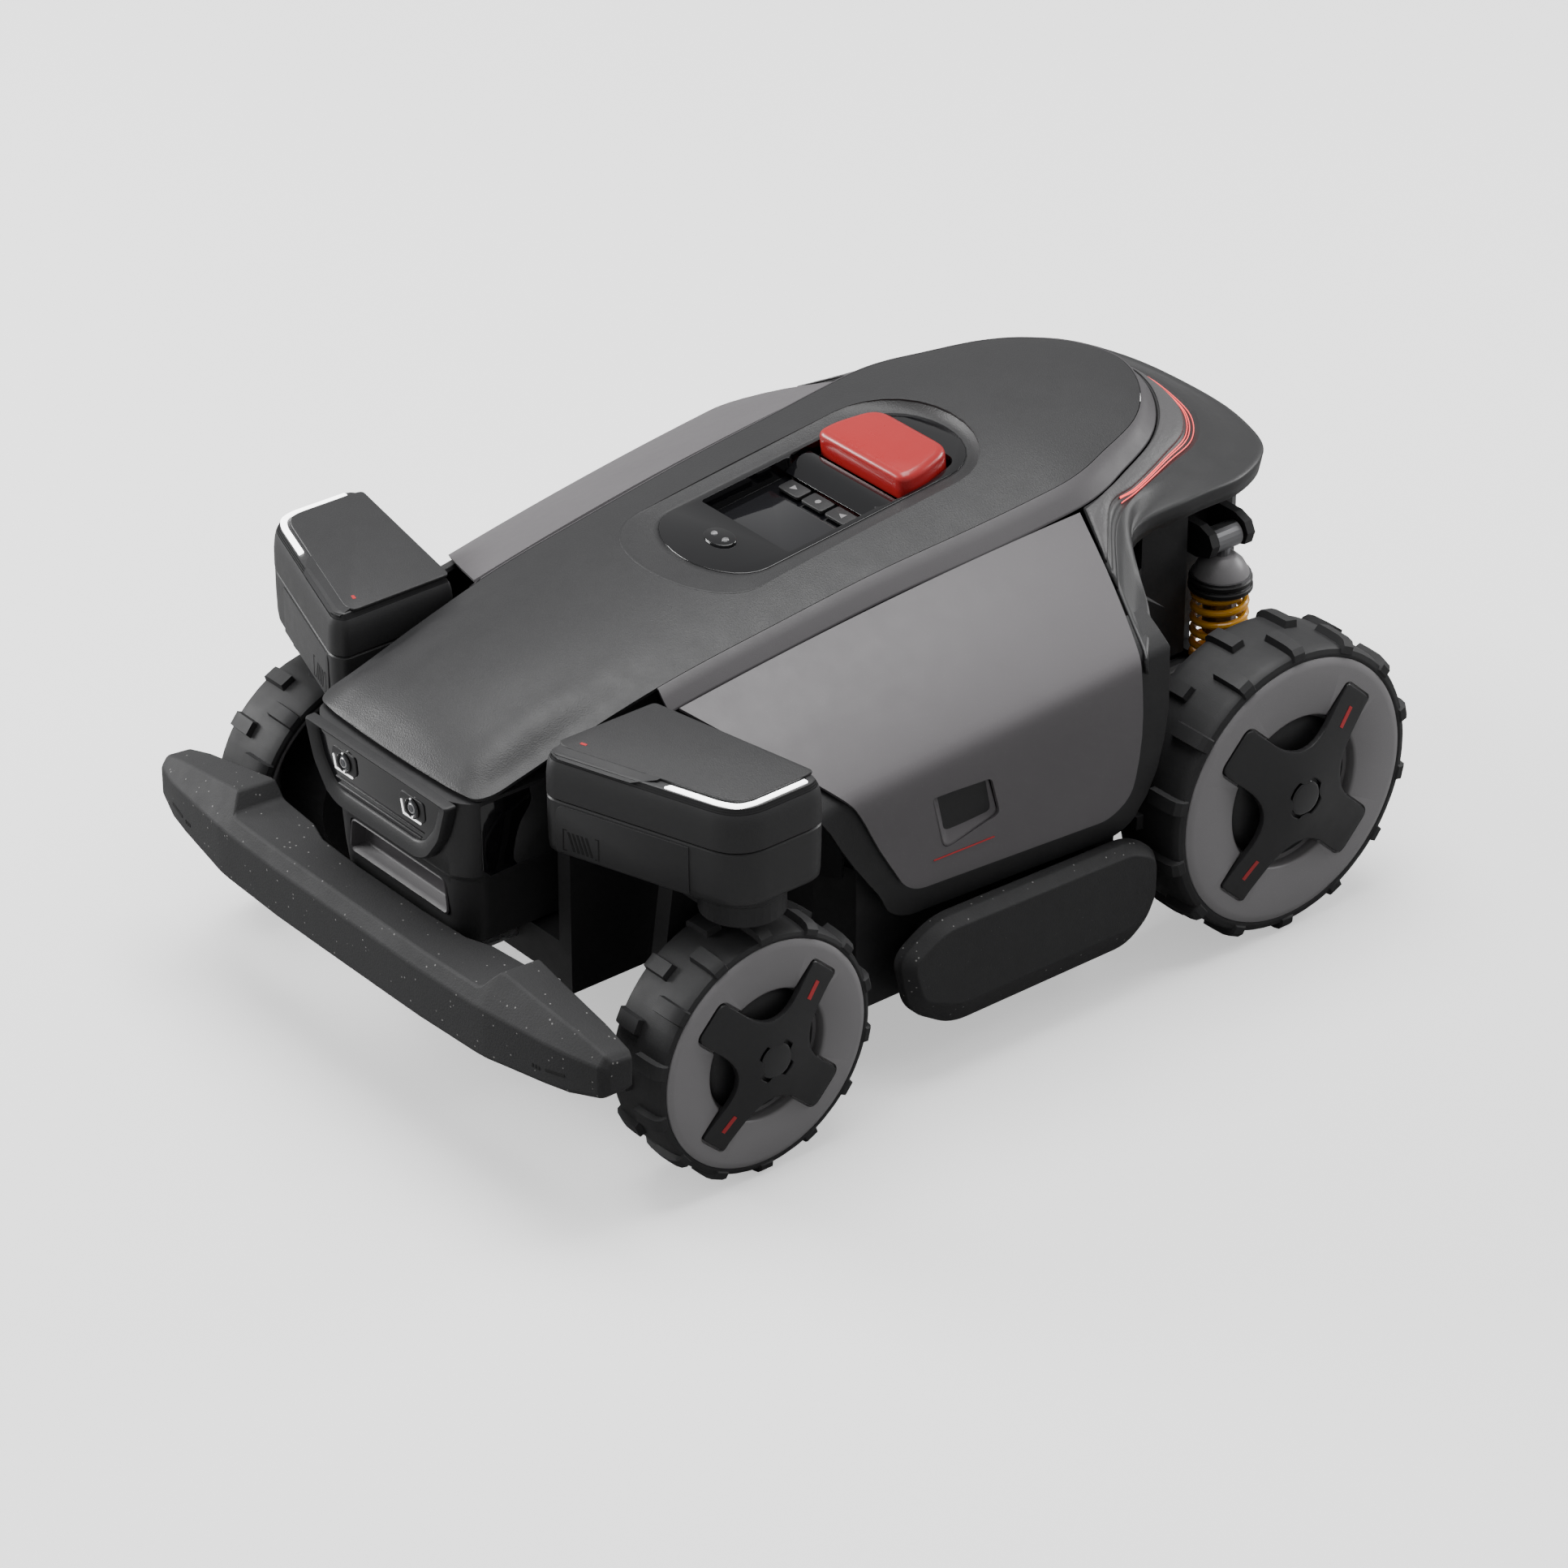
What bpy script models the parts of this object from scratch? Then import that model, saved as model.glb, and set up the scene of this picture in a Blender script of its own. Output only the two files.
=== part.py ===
"""Robotic lawn mower: four driven wheels, steered front pods, sprung rear arms and a floating blade deck.

Frame: +X is the mower's left side, -Y is its front, +Z is up. The origin is on the ground, on the centre
plane, midway between the axles. Lengths are in metres.
"""

import math

import bmesh
import bpy
from mathutils import Matrix, Vector

# Driving dimensions
WHEELBASE = 0.470
FRONT_AXLE_Y = -WHEELBASE / 2
REAR_AXLE_Y = WHEELBASE / 2
FRONT_WHEEL = {
    "tip": 0.0930,
    "tread": 0.0885,
    "ring": 0.0830,
    "face_x": 0.2497,
    "width": 0.0525,
    "proud": 0.0095,
    "motor_x": 0.2270,
}
REAR_WHEEL = {
    "tip": 0.1126,
    "tread": 0.1075,
    "ring": 0.1000,
    "face_x": 0.2439,
    "width": 0.0630,
    "proud": 0.0120,
    "motor_x": 0.2140,
}
RIM_TURN = math.radians(55)  # where the round rim's facets start
STAR_LEAN = math.radians(43)  # the wheel covers' long arms rise towards the rear at rest
LUGS = 14
SHELL = 0.0030  # wall of every moulded cover
GAP = 0.0003  # clearance between pieces that touch
SEAM = 0.0008  # panel gap between covers
POD_BOTTOM_Z = 0.2145
POD_TOP_Z = 0.2885
POD_SEAM_Z = 0.2555
KINGPIN_X = 0.2235
CHASSIS_BOTTOM_Z = 0.0550
CHASSIS_TOP_Z = 0.1650
CONSOLE_CENTRE = Vector((0.0, 0.0060, 0.3215))
CONSOLE_PITCH = math.radians(6.0)
BUMPER_ROD_X = 0.0500
BUMPER_ROD_Z = 0.1150
DECK_Y = 0.0100
BLADE_DISC_Z = 0.0560
BLADE_DISC_R = 0.0950
BLADE_PIVOT_R = 0.0860
ARM_PIVOT = Vector((0.0620, 0.2500, 0.1050))
SHOCK_X = 0.1200
SHOCK_Y = 0.2750
SHOCK_TOP_Z = 0.2460
SHOCK_FOOT_Z = 0.1250
SIDES = (("left", 1), ("right", -1))

# Upper cover: half width, height of its edge and height on the centre line at stations from nose to tail
COVER_STATIONS = (
    (-0.3520, 0.0800, 0.2500, 0.2515),
    (-0.3440, 0.0895, 0.2505, 0.2560),
    (-0.3110, 0.0905, 0.2590, 0.2750),
    (-0.2500, 0.0925, 0.2760, 0.2905),
    (-0.1860, 0.0955, 0.2905, 0.3020),
    (-0.1100, 0.0985, 0.3020, 0.3135),
    (-0.0220, 0.1025, 0.3135, 0.3250),
    (0.0600, 0.1070, 0.3215, 0.3345),
    (0.1390, 0.1078, 0.3295, 0.3430),
    (0.1600, 0.1030, 0.3310, 0.3440),
    (0.1810, 0.0960, 0.3325, 0.3445),
    (0.2256, 0.0786, 0.3355, 0.3440),
    (0.2496, 0.0597, 0.3375, 0.3420),
    (0.2680, 0.0340, 0.3385, 0.3400),
    (0.2760, 0.0120, 0.3388, 0.3390),
)
BAND_START_Y = -0.2050
BAND_WIDTHS = ((-0.10, 0.0165), (0.14, 0.0180), (0.25, 0.0125))
BAND_DROP = 0.0120

# Side surface: (depth along the section, front edge, rear edge, bulge of the middle)
SIDE_LINES = (
    (0.0, (0.1115, -0.1970, 0.2770), (0.1262, 0.1363, 0.3145), (0.0008, 0.0, 0.0052)),
    (0.5, (0.1640, -0.1730, 0.2590), (0.1800, 0.1180, 0.2905), (0.0015, 0.0, 0.0040)),
    (0.93, (0.2120, -0.1450, 0.2360), (0.2265, 0.1010, 0.2635), (0.0020, 0.0, 0.0010)),
    (1.07, (0.2195, -0.1365, 0.2260), (0.2335, 0.0985, 0.2515), (0.0015, 0.0, 0.0)),
    (1.5, (0.2215, -0.1180, 0.1900), (0.2320, 0.1020, 0.2000), (0.0010, 0.0, 0.0)),
    (1.9, (0.2225, -0.0980, 0.1560), (0.2290, 0.0965, 0.1530), (0.0, 0.0, 0.0)),
    (2.0, (0.2220, -0.0900, 0.1480), (0.2275, 0.0857, 0.1410), (0.0, 0.0, 0.0)),
    (2.35, (0.2215, -0.0834, 0.1239), (0.2245, 0.0860, 0.1185), (0.0, 0.0, 0.0)),
)

# Tail cover: glowing line, rim and skirt, from the side panel round to the centre line. Its inner edge
# follows the band.
TAIL_STATIONS = (
    ((0.1750, 0.1235, 0.2915), (0.2330, 0.1040, 0.2585), (0.2325, 0.1055, 0.2500)),
    ((0.1290, 0.1640, 0.3120), (0.2050, 0.1310, 0.2710), (0.2040, 0.1320, 0.2610)),
    ((0.1230, 0.1900, 0.3130), (0.1430, 0.1700, 0.2930), (0.1420, 0.1710, 0.2820)),
    ((0.1040, 0.2360, 0.3135), (0.1390, 0.2300, 0.2988), (0.1375, 0.2300, 0.2860)),
    ((0.0900, 0.2680, 0.3138), (0.1340, 0.2800, 0.2970), (0.1320, 0.2785, 0.2840)),
    ((0.0640, 0.2900, 0.3145), (0.1080, 0.3230, 0.2948), (0.1065, 0.3210, 0.2815)),
    ((0.0300, 0.3000, 0.3160), (0.0600, 0.3435, 0.2940), (0.0590, 0.3410, 0.2800)),
    ((0.0000, 0.3030, 0.3170), (0.0000, 0.3505, 0.2930), (0.0000, 0.3480, 0.2790)),
)

MATERIALS = {
    "cover_plastic": ((0.045, 0.045, 0.047), 0.55, 0.0),
    "band_plastic": ((0.110, 0.105, 0.110), 0.50, 0.0),
    "panel_plastic": ((0.200, 0.190, 0.200), 0.42, 0.0),
    "frame_plastic": ((0.022, 0.022, 0.024), 0.55, 0.0),
    "gloss_black": ((0.006, 0.006, 0.007), 0.08, 0.0),
    "screen_glass": ((0.010, 0.010, 0.012), 0.05, 0.0),
    "stop_red": ((0.450, 0.020, 0.025), 0.30, 0.0),
    "lamp_white": ((0.900, 0.900, 0.920), 0.30, 0.0),
    "lamp_red": ((0.600, 0.030, 0.030), 0.30, 0.0),
    "tyre_rubber": ((0.018, 0.018, 0.019), 0.75, 0.0),
    "ring_grey": ((0.260, 0.250, 0.260), 0.40, 0.0),
    "star_plastic": ((0.020, 0.020, 0.021), 0.45, 0.0),
    "foam_guard": ((0.025, 0.025, 0.027), 0.90, 0.0),
    "steel": ((0.550, 0.550, 0.560), 0.30, 1.0),
    "alloy": ((0.300, 0.300, 0.310), 0.40, 1.0),
    "spring_yellow": ((0.900, 0.380, 0.010), 0.35, 0.0),
    "battery_case": ((0.050, 0.055, 0.060), 0.60, 0.0),
}


def clear_scene():
    for obj in list(bpy.data.objects):
        bpy.data.objects.remove(obj, do_unlink=True)


def new_collection(name):
    collection = bpy.data.collections.new(name)
    bpy.context.scene.collection.children.link(collection)
    return collection


def material(name):
    made = bpy.data.materials.get(name)
    if made:
        return made
    colour, roughness, metallic = MATERIALS[name]
    made = bpy.data.materials.new(name)
    made.use_nodes = True
    shader = made.node_tree.nodes["Principled BSDF"]
    shader.inputs["Base Color"].default_value = (*colour, 1.0)
    shader.inputs["Roughness"].default_value = roughness
    shader.inputs["Metallic"].default_value = metallic
    made.diffuse_color = (*colour, 1.0)
    return made


def add_object(name, bm, finish, smooth=True):
    """A new node from a bmesh, which it uses up."""
    bmesh.ops.recalc_face_normals(bm, faces=bm.faces[:])
    mesh = bpy.data.meshes.new(name)
    bm.to_mesh(mesh)
    bm.free()
    obj = bpy.data.objects.new(name, mesh)
    if finish is None:
        CUTTERS.objects.link(obj)
        obj.hide_render = True
        obj.display_type = "WIRE"
        return obj
    PARTS.objects.link(obj)
    mesh.materials.append(material(finish))
    if smooth:
        mesh.shade_smooth()
        mesh.set_sharp_from_angle(angle=math.radians(35))
    return obj


def bevel(obj, width, segments=2, angle=40):
    modifier = obj.modifiers.new("Bevel", "BEVEL")
    modifier.width = width
    modifier.segments = segments
    modifier.limit_method = "ANGLE"
    modifier.angle_limit = math.radians(angle)
    return obj


def boolean(obj, other, operation="DIFFERENCE"):
    modifier = obj.modifiers.new(operation.title(), "BOOLEAN")
    modifier.operation = operation
    modifier.solver = "EXACT"
    modifier.object = other
    return obj


def join(obj, *others):
    for other in others:
        boolean(obj, other, "UNION")
    return obj


def box(name, low, high, finish):
    """A box between two opposite corners."""
    low, high = Vector(low), Vector(high)
    bm = bmesh.new()
    bmesh.ops.create_cube(bm, size=1.0)
    bmesh.ops.scale(bm, vec=high - low, verts=bm.verts)
    bmesh.ops.translate(bm, vec=(low + high) / 2, verts=bm.verts)
    return add_object(name, bm, finish)


def cylinder(name, centre, axis, radius, length, finish, segments=24, end_radius=None):
    """A cylinder or cone about its centre, along a world axis."""
    bm = bmesh.new()
    bmesh.ops.create_cone(
        bm,
        cap_ends=True,
        segments=segments,
        radius1=radius,
        radius2=radius if end_radius is None else end_radius,
        depth=length,
    )
    turn = Vector((0, 0, 1)).rotation_difference(Vector(axis)).to_matrix().to_4x4()
    bmesh.ops.transform(bm, matrix=Matrix.Translation(centre) @ turn, verts=bm.verts)
    return add_object(name, bm, finish)


def extrude_outline(name, outline, start, end, finish, plane="XY"):
    """A flat outline swept between two heights: XY along Z, YZ along X, or XZ along Y."""
    place = {
        "XY": lambda a, b, h: (a, b, h),
        "YZ": lambda a, b, h: (h, a, b),
        "XZ": lambda a, b, h: (a, h, b),
    }[plane]
    bm = bmesh.new()
    face = bm.faces.new([bm.verts.new(place(a, b, start)) for a, b in outline])
    swept = bmesh.ops.extrude_face_region(bm, geom=[face])
    shift = Vector(place(0, 0, end)) - Vector(place(0, 0, start))
    bmesh.ops.translate(bm, vec=shift, verts=[v for v in swept["geom"] if isinstance(v, bmesh.types.BMVert)])
    return add_object(name, bm, finish)


def loft(name, sections, finish):
    """A closed solid through rings of equally many points, capped at both ends."""
    bm = bmesh.new()
    rings = [[bm.verts.new(point) for point in section] for section in sections]
    count = len(rings[0])
    for ring, following in zip(rings, rings[1:]):
        for i in range(count):
            j = (i + 1) % count
            bm.faces.new((ring[i], ring[j], following[j], following[i]))
    bm.faces.new(rings[0])
    bm.faces.new(rings[-1])
    return add_object(name, bm, finish)


def plate(name, rows, drop, finish):
    """A grid of points made solid by a second layer straight below it."""
    bm = bmesh.new()
    layers = []
    for depth in (0.0, drop):
        layers.append([[bm.verts.new((x, y, z - depth)) for x, y, z in row] for row in rows])
    for grid in layers:
        for row, following in zip(grid, grid[1:]):
            for i in range(len(row) - 1):
                bm.faces.new((row[i], row[i + 1], following[i + 1], following[i]))
    for upper, lower in zip(rim_of(layers[0]), rim_of(layers[1])):
        bm.faces.new((upper[0], upper[1], lower[1], lower[0]))
    return add_object(name, bm, finish)


def rim_of(grid):
    """The border edges of a grid of points, in order."""
    border = grid[0] + [row[-1] for row in grid[1:-1]] + grid[-1][::-1] + [row[0] for row in grid[-2:0:-1]]
    return list(zip(border, border[1:] + border[:1]))


def sheet(name, rows, finish, thickness=SHELL, flip=False):
    """A moulded cover: a grid of points thickened towards its inside. Rows run so that normals face out."""
    bm = bmesh.new()
    grid = [[bm.verts.new(point) for point in row] for row in rows]
    for row, following in zip(grid, grid[1:]):
        for i in range(len(row) - 1):
            corners = (row[i], row[i + 1], following[i + 1], following[i])
            bm.faces.new(corners[::-1] if flip else corners)
    mesh = bpy.data.meshes.new(name)
    bm.to_mesh(mesh)
    bm.free()
    obj = bpy.data.objects.new(name, mesh)
    PARTS.objects.link(obj)
    mesh.materials.append(material(finish))
    mesh.shade_smooth()
    mesh.set_sharp_from_angle(angle=math.radians(35))
    solidify = obj.modifiers.new("Solidify", "SOLIDIFY")
    solidify.thickness = thickness
    solidify.offset = -1.0
    solidify.use_even_offset = True
    return obj


def turned(name, profile, place, finish, steps=32):
    """A profile of (radius, height) turned about its own Z, then placed by a matrix."""
    mesh = bpy.data.meshes.new(name)
    bm = bmesh.new()
    points = [bm.verts.new((radius, 0.0, height)) for radius, height in profile]
    closed = profile[0][0] > 0 or profile[-1][0] > 0
    for a, b in zip(points, points[1:]):
        bm.edges.new((a, b))
    if closed:
        bm.edges.new((points[-1], points[0]))
    bm.to_mesh(mesh)
    bm.free()
    obj = bpy.data.objects.new(name, mesh)
    PARTS.objects.link(obj)
    mesh.materials.append(material(finish))
    obj.matrix_world = place
    screw = obj.modifiers.new("Screw", "SCREW")
    screw.axis = "Z"
    screw.steps = steps
    screw.render_steps = steps
    screw.use_merge_vertices = True
    screw.merge_threshold = 0.00001
    screw.use_normal_calculate = True
    return obj


def interpolate(pairs, at):
    """The value at a place along (place, value) pairs, held level past both ends."""
    for (low, first), (high, second) in zip(pairs, pairs[1:]):
        if at < high:
            return first + (second - first) * max(0.0, (at - low) / (high - low))
    return pairs[-1][1]


def offset_outline(points, distance):
    """The outline moved outwards by a distance, with mitred corners."""
    count = len(points)
    area = sum(points[i - 1][0] * points[i][1] - points[i][0] * points[i - 1][1] for i in range(count))
    turn = 1 if area > 0 else -1
    moved = []
    for i, point in enumerate(points):
        before = (Vector(point) - Vector(points[i - 1])).normalized()
        after = (Vector(points[(i + 1) % count]) - Vector(point)).normalized()
        first = Vector((before.y, -before.x)) * turn
        second = Vector((after.y, -after.x)) * turn
        mitre = (first + second) / (1 + first.dot(second))
        moved.append((point[0] + mitre.x * distance, point[1] + mitre.y * distance))
    return moved


def mirrored(points):
    """A left-hand line of points followed by its right-hand mirror image, ending on the right."""
    return list(points) + [(-x, y, z) for x, y, z in reversed(points) if x > 0]


def side_point(side, line, along, inset=0.0):
    """A point of the body's side on one of SIDE_LINES, from front edge (0) to rear edge (1)."""
    _, front, rear, bulge = line
    swell = max(0.0, 4 * along * (1 - along))
    point = [f + (r - f) * along + b * swell for f, r, b in zip(front, rear, bulge)]
    return (side * (point[0] - inset), point[1], point[2] - inset * 0.6)


def upper_cover():
    """The long crowned cover from the nose to the tail, with an opening for the console."""
    rows = []
    for y, half, edge_z, crown_z in COVER_STATIONS:
        row = []
        for part in (-1.0, -0.8, -0.4, 0.0, 0.4, 0.8, 1.0):
            row.append((half * part, y, crown_z + (edge_z - crown_z) * abs(part) ** 2.2))
        rows.append(row)
    cover = sheet("top_cover", rows, "cover_plastic")
    opening = console_outline(0.0548, 0.1180)
    cutter = in_console(extrude_outline("console_opening", opening, -0.04, 0.03, None))
    boolean(cover, cutter)


def console_outline(half_width, half_length, corner=0.6, count=9):
    """An outline with straight sides and half-round ends, in the console's own plane."""
    points = []
    straight = half_length - half_width * corner
    for end in (1, -1):
        for i in range(count):
            angle = math.pi * i / (count - 1)
            points.append(
                (end * half_width * math.cos(angle), end * (straight + half_width * corner * math.sin(angle)))
            )
    return points


def in_console(obj):
    """Tilts a piece modelled flat at the origin into the console's place."""
    obj.matrix_world = Matrix.Translation(CONSOLE_CENTRE) @ Matrix.Rotation(CONSOLE_PITCH, 4, "X")
    return obj


def console():
    """The bezel sunk into the cover, with its screen, keys, rain sensor and stop button."""
    outline = console_outline(0.0540, 0.1172)
    bezel = in_console(extrude_outline("console_bezel", outline, -0.0200, 0.0, "gloss_black"))
    cutters = [
        box("console_well", (-0.0486, -0.0560, -0.0140), (0.0486, 0.0960, 0.0100), None),
        box("sensor_seat", (-0.0180, -0.0950, -0.0070), (0.0180, -0.0700, 0.0100), None),
        cylinder("button_guide", (0, 0.0580, -0.0170), (0, 0, 1), 0.0063, 0.0200, None),
    ]
    in_console(box("display_screen", (-0.0370, -0.0540, -0.0137), (0.0370, -0.0080, -0.0110), "screen_glass"))
    sensor = in_console(box("rain_sensor", (-0.0175, -0.0945, -0.0067), (0.0175, -0.0705, 0.0010), "gloss_black"))
    bevel(sensor, 0.0015, 1)
    for name, x in (("key_left", 0.0250), ("key_ok", 0.0), ("key_right", -0.0250)):
        key = in_console(box(name, (x - 0.0105, -0.0020, -0.0122), (x + 0.0105, 0.0110, -0.0100), "gloss_black"))
        bevel(key, 0.0006, 1)
        stem = in_console(cylinder(f"{name}_stem", (x, 0.0045, -0.0150), (0, 0, 1), 0.0025, 0.0080, None, 12))
        join(key, stem)
        cutters.append(cylinder(f"{name}_guide", (x, 0.0045, -0.0170), (0, 0, 1), 0.0028, 0.0200, None, 12))
    for cutter in cutters:
        boolean(bezel, in_console(cutter))
    face = [(0.0480, 0.0390), (0.0480, 0.0600), (0.0390, 0.0890)]
    face += [(-x, y) for x, y in reversed(face)]
    button = in_console(extrude_outline("stop_button", face, -0.0085, 0.0085, "stop_red"))
    bevel(button, 0.0030, 2)
    stem = in_console(cylinder("button_stem", (0, 0.0580, -0.0130), (0, 0, 1), 0.0060, 0.0120, None))
    join(button, stem)


def shoulder_band():
    """The U-shaped band round the cover's edge, sloping down and out from it."""
    inner, outer = band_lines()
    plate("shoulder_band", [mirrored(outer), mirrored(inner)], 0.0025, "band_plastic")


def band_lines():
    """The band's inner and outer edges on the left, from its front end to the centre line at the tail."""
    edge = [(half, y, z) for y, half, z, _ in COVER_STATIONS if y > BAND_START_Y]
    edge.append((0.0, 0.2775, 0.3390))
    inner, outer = [], []
    for i, point in enumerate(edge):
        before = edge[max(i - 1, 0)]
        after = edge[i + 1] if i + 1 < len(edge) else (-edge[i - 1][0], edge[i - 1][1], 0)
        along = Vector((after[0] - before[0], after[1] - before[1])).normalized()
        out = Vector((along.y, -along.x))
        inner.append((point[0] + out.x * SEAM, point[1] + out.y * SEAM, point[2] - 0.0004))
        reach = interpolate(BAND_WIDTHS, point[1]) - SEAM * 3
        outer.append((point[0] + out.x * reach, point[1] + out.y * reach, point[2] - BAND_DROP + SEAM))
    inner[-1] = (0.0, inner[-1][1], inner[-1][2])
    outer[-1] = (0.0, outer[-1][1], outer[-1][2])
    return inner, outer


def side_covers():
    """The side panels, their camera windows, the dark frames under them and the foam guards."""
    for word, side in SIDES:
        panel_lines = SIDE_LINES[:7]
        rows = []
        for line in panel_lines:
            rows.append([side_point(side, line, along / 8) for along in range(9)])
        panel = sheet(f"side_panel_{word}", rows, "panel_plastic", flip=side > 0)
        window = box(f"camera_window_{word}", (side * 0.19, -0.0760, 0.1800), (side * 0.26, -0.0290, 0.2170), None)
        boolean(panel, window)
        camera = box(
            f"side_camera_{word}", (side * 0.2000, -0.0755, 0.1805), (side * 0.2235, -0.0295, 0.2165), "gloss_black"
        )
        bevel(camera, 0.0030, 1)
        frame_lines = SIDE_LINES[2:]
        rows = []
        for line in frame_lines:
            rows.append([side_point(side, line, along, 0.0055) for along in (-0.10, 0.0, 0.25, 0.5, 0.75, 1.0, 1.08)])
        frame = sheet(f"side_frame_{word}", rows, "frame_plastic", flip=side > 0)
        pocket = box(f"camera_pocket_{word}", (side * 0.19, -0.0758, 0.1802), (side * 0.26, -0.0292, 0.2168), None)
        boolean(frame, pocket)
        notch = box(f"tail_notch_{word}", (side * 0.19, 0.0960, 0.2465), (side * 0.26, 0.1400, 0.2900), None)
        boolean(frame, notch)
        outline = [
            (-0.1090, 0.1020), (-0.1040, 0.1110), (-0.0860, 0.1210), (0.0920, 0.1160), (0.1060, 0.1120),
            (0.1130, 0.0980), (0.1120, 0.0560), (0.0960, 0.0380), (-0.0640, 0.0370), (-0.0840, 0.0430),
            (-0.1060, 0.0850),
        ]
        guard = extrude_outline(f"side_guard_{word}", outline, side * 0.2210, side * 0.2385, "foam_guard", "YZ")
        bevel(guard, 0.0060, 2)
        pad = box(f"guard_pad_{word}", (side * 0.2003, -0.0700, 0.0650), (side * 0.2230, 0.0800, 0.1050), None)
        join(guard, pad)


def tail():
    """The cover behind the band, with its glowing line, its rim and a short skirt."""
    band_edge = band_lines()[1][-len(TAIL_STATIONS):]
    inner_edge = []
    for i, point in enumerate(band_edge):
        ahead = band_edge[min(i + 1, len(band_edge) - 1)]
        behind = band_edge[i - 1] if i else point
        along = Vector((ahead[0] - behind[0], ahead[1] - behind[1], 0)).normalized()
        edge = Vector(point) + Vector((along.y, -along.x, 0)) * SEAM * 3
        inner_edge.append((edge.x if i + 1 < len(band_edge) else 0.0, edge.y, edge.z - 0.0005))
    stations = [(inner, *station) for inner, station in zip(inner_edge, TAIL_STATIONS)]
    sheet("tail_cover", [mirrored(column) for column in zip(*stations)], "cover_plastic", flip=True)
    lamp_rows = []
    for reach in (-0.0022, 0.0, 0.0022):
        row = []
        for inner, glow, rim, _ in stations[1:]:
            towards = Vector(rim) - Vector(glow) if reach > 0 else Vector(glow) - Vector(inner)
            point = Vector(glow) + towards.normalized() * reach
            row.append((max(point.x, 0.0), point.y, point.z + 0.0024))
        lamp_rows.append(mirrored(row))
    sheet("tail_light", lamp_rows, "lamp_red", 0.0012, flip=True)


def chassis():
    """The tub with its blade well, battery bay and pivot lugs for the rear arms."""
    half = [
        (0.0800, -0.1850), (0.1300, -0.1700), (0.1500, -0.1500), (0.1650, -0.1280), (0.2000, -0.1200),
        (0.2000, 0.1080), (0.1500, 0.1150), (0.1100, 0.1450), (0.0480, 0.1700), (0.0480, 0.3150),
    ]
    outline = half + [(-x, y) for x, y in reversed(half)]
    tub = extrude_outline("chassis", outline, CHASSIS_BOTTOM_Z, CHASSIS_TOP_Z, "frame_plastic")
    bay = extrude_outline(
        "tub_bay",
        [(0.1500, -0.1150), (0.1500, 0.1000), (-0.1500, 0.1000), (-0.1500, -0.1150)],
        0.1250,
        0.2000,
        None,
    )
    well = cylinder("blade_well", (0, DECK_Y, 0.0700), (0, 0, 1), 0.1240, 0.0800, None, 32)
    bore = cylinder("deck_bore", (0, DECK_Y, 0.1200), (0, 0, 1), 0.0426, 0.0600, None, 28)
    for cutter in (bay, well, bore):
        boolean(tub, cutter)
    lugs = []
    for word, side in SIDES:
        for i, y in enumerate((0.1850, 0.3080)):
            low = (side * 0.0400, y - 0.0060, 0.0900)
            high = (side * 0.0740, y + 0.0060, 0.1200)
            lugs.append(box(f"pivot_lug_{word}_{i}", low, high, None))
    wall = [(0.0, -0.1840), (0.0930, -0.1840), (0.1400, -0.1660), (0.1960, -0.1290)]
    wall += [(0.1930, -0.1250), (0.1380, -0.1620), (0.0920, -0.1795), (0.0, -0.1795)]
    outline = wall + [(-x, y) for x, y in reversed(wall[1:-1])]
    bulkhead = extrude_outline("bulkhead", outline, 0.1600, 0.2320, None)
    neck = box("chassis_neck", (-0.0680, -0.2490, 0.1500), (0.0680, -0.1810, 0.2640), None)
    join(tub, *lugs, bulkhead, neck)
    for word, side in SIDES:
        pin_hole = cylinder(
            f"pivot_hole_{word}", (side * ARM_PIVOT.x, 0.2470, ARM_PIVOT.z), (0, 1, 0), 0.0043, 0.2000, None, 16
        )
        boolean(tub, pin_hole)
    box("battery_pack", (-0.1400, -0.1100, 0.1253), (0.1400, -0.0420, 0.1900), "battery_case")


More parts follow.
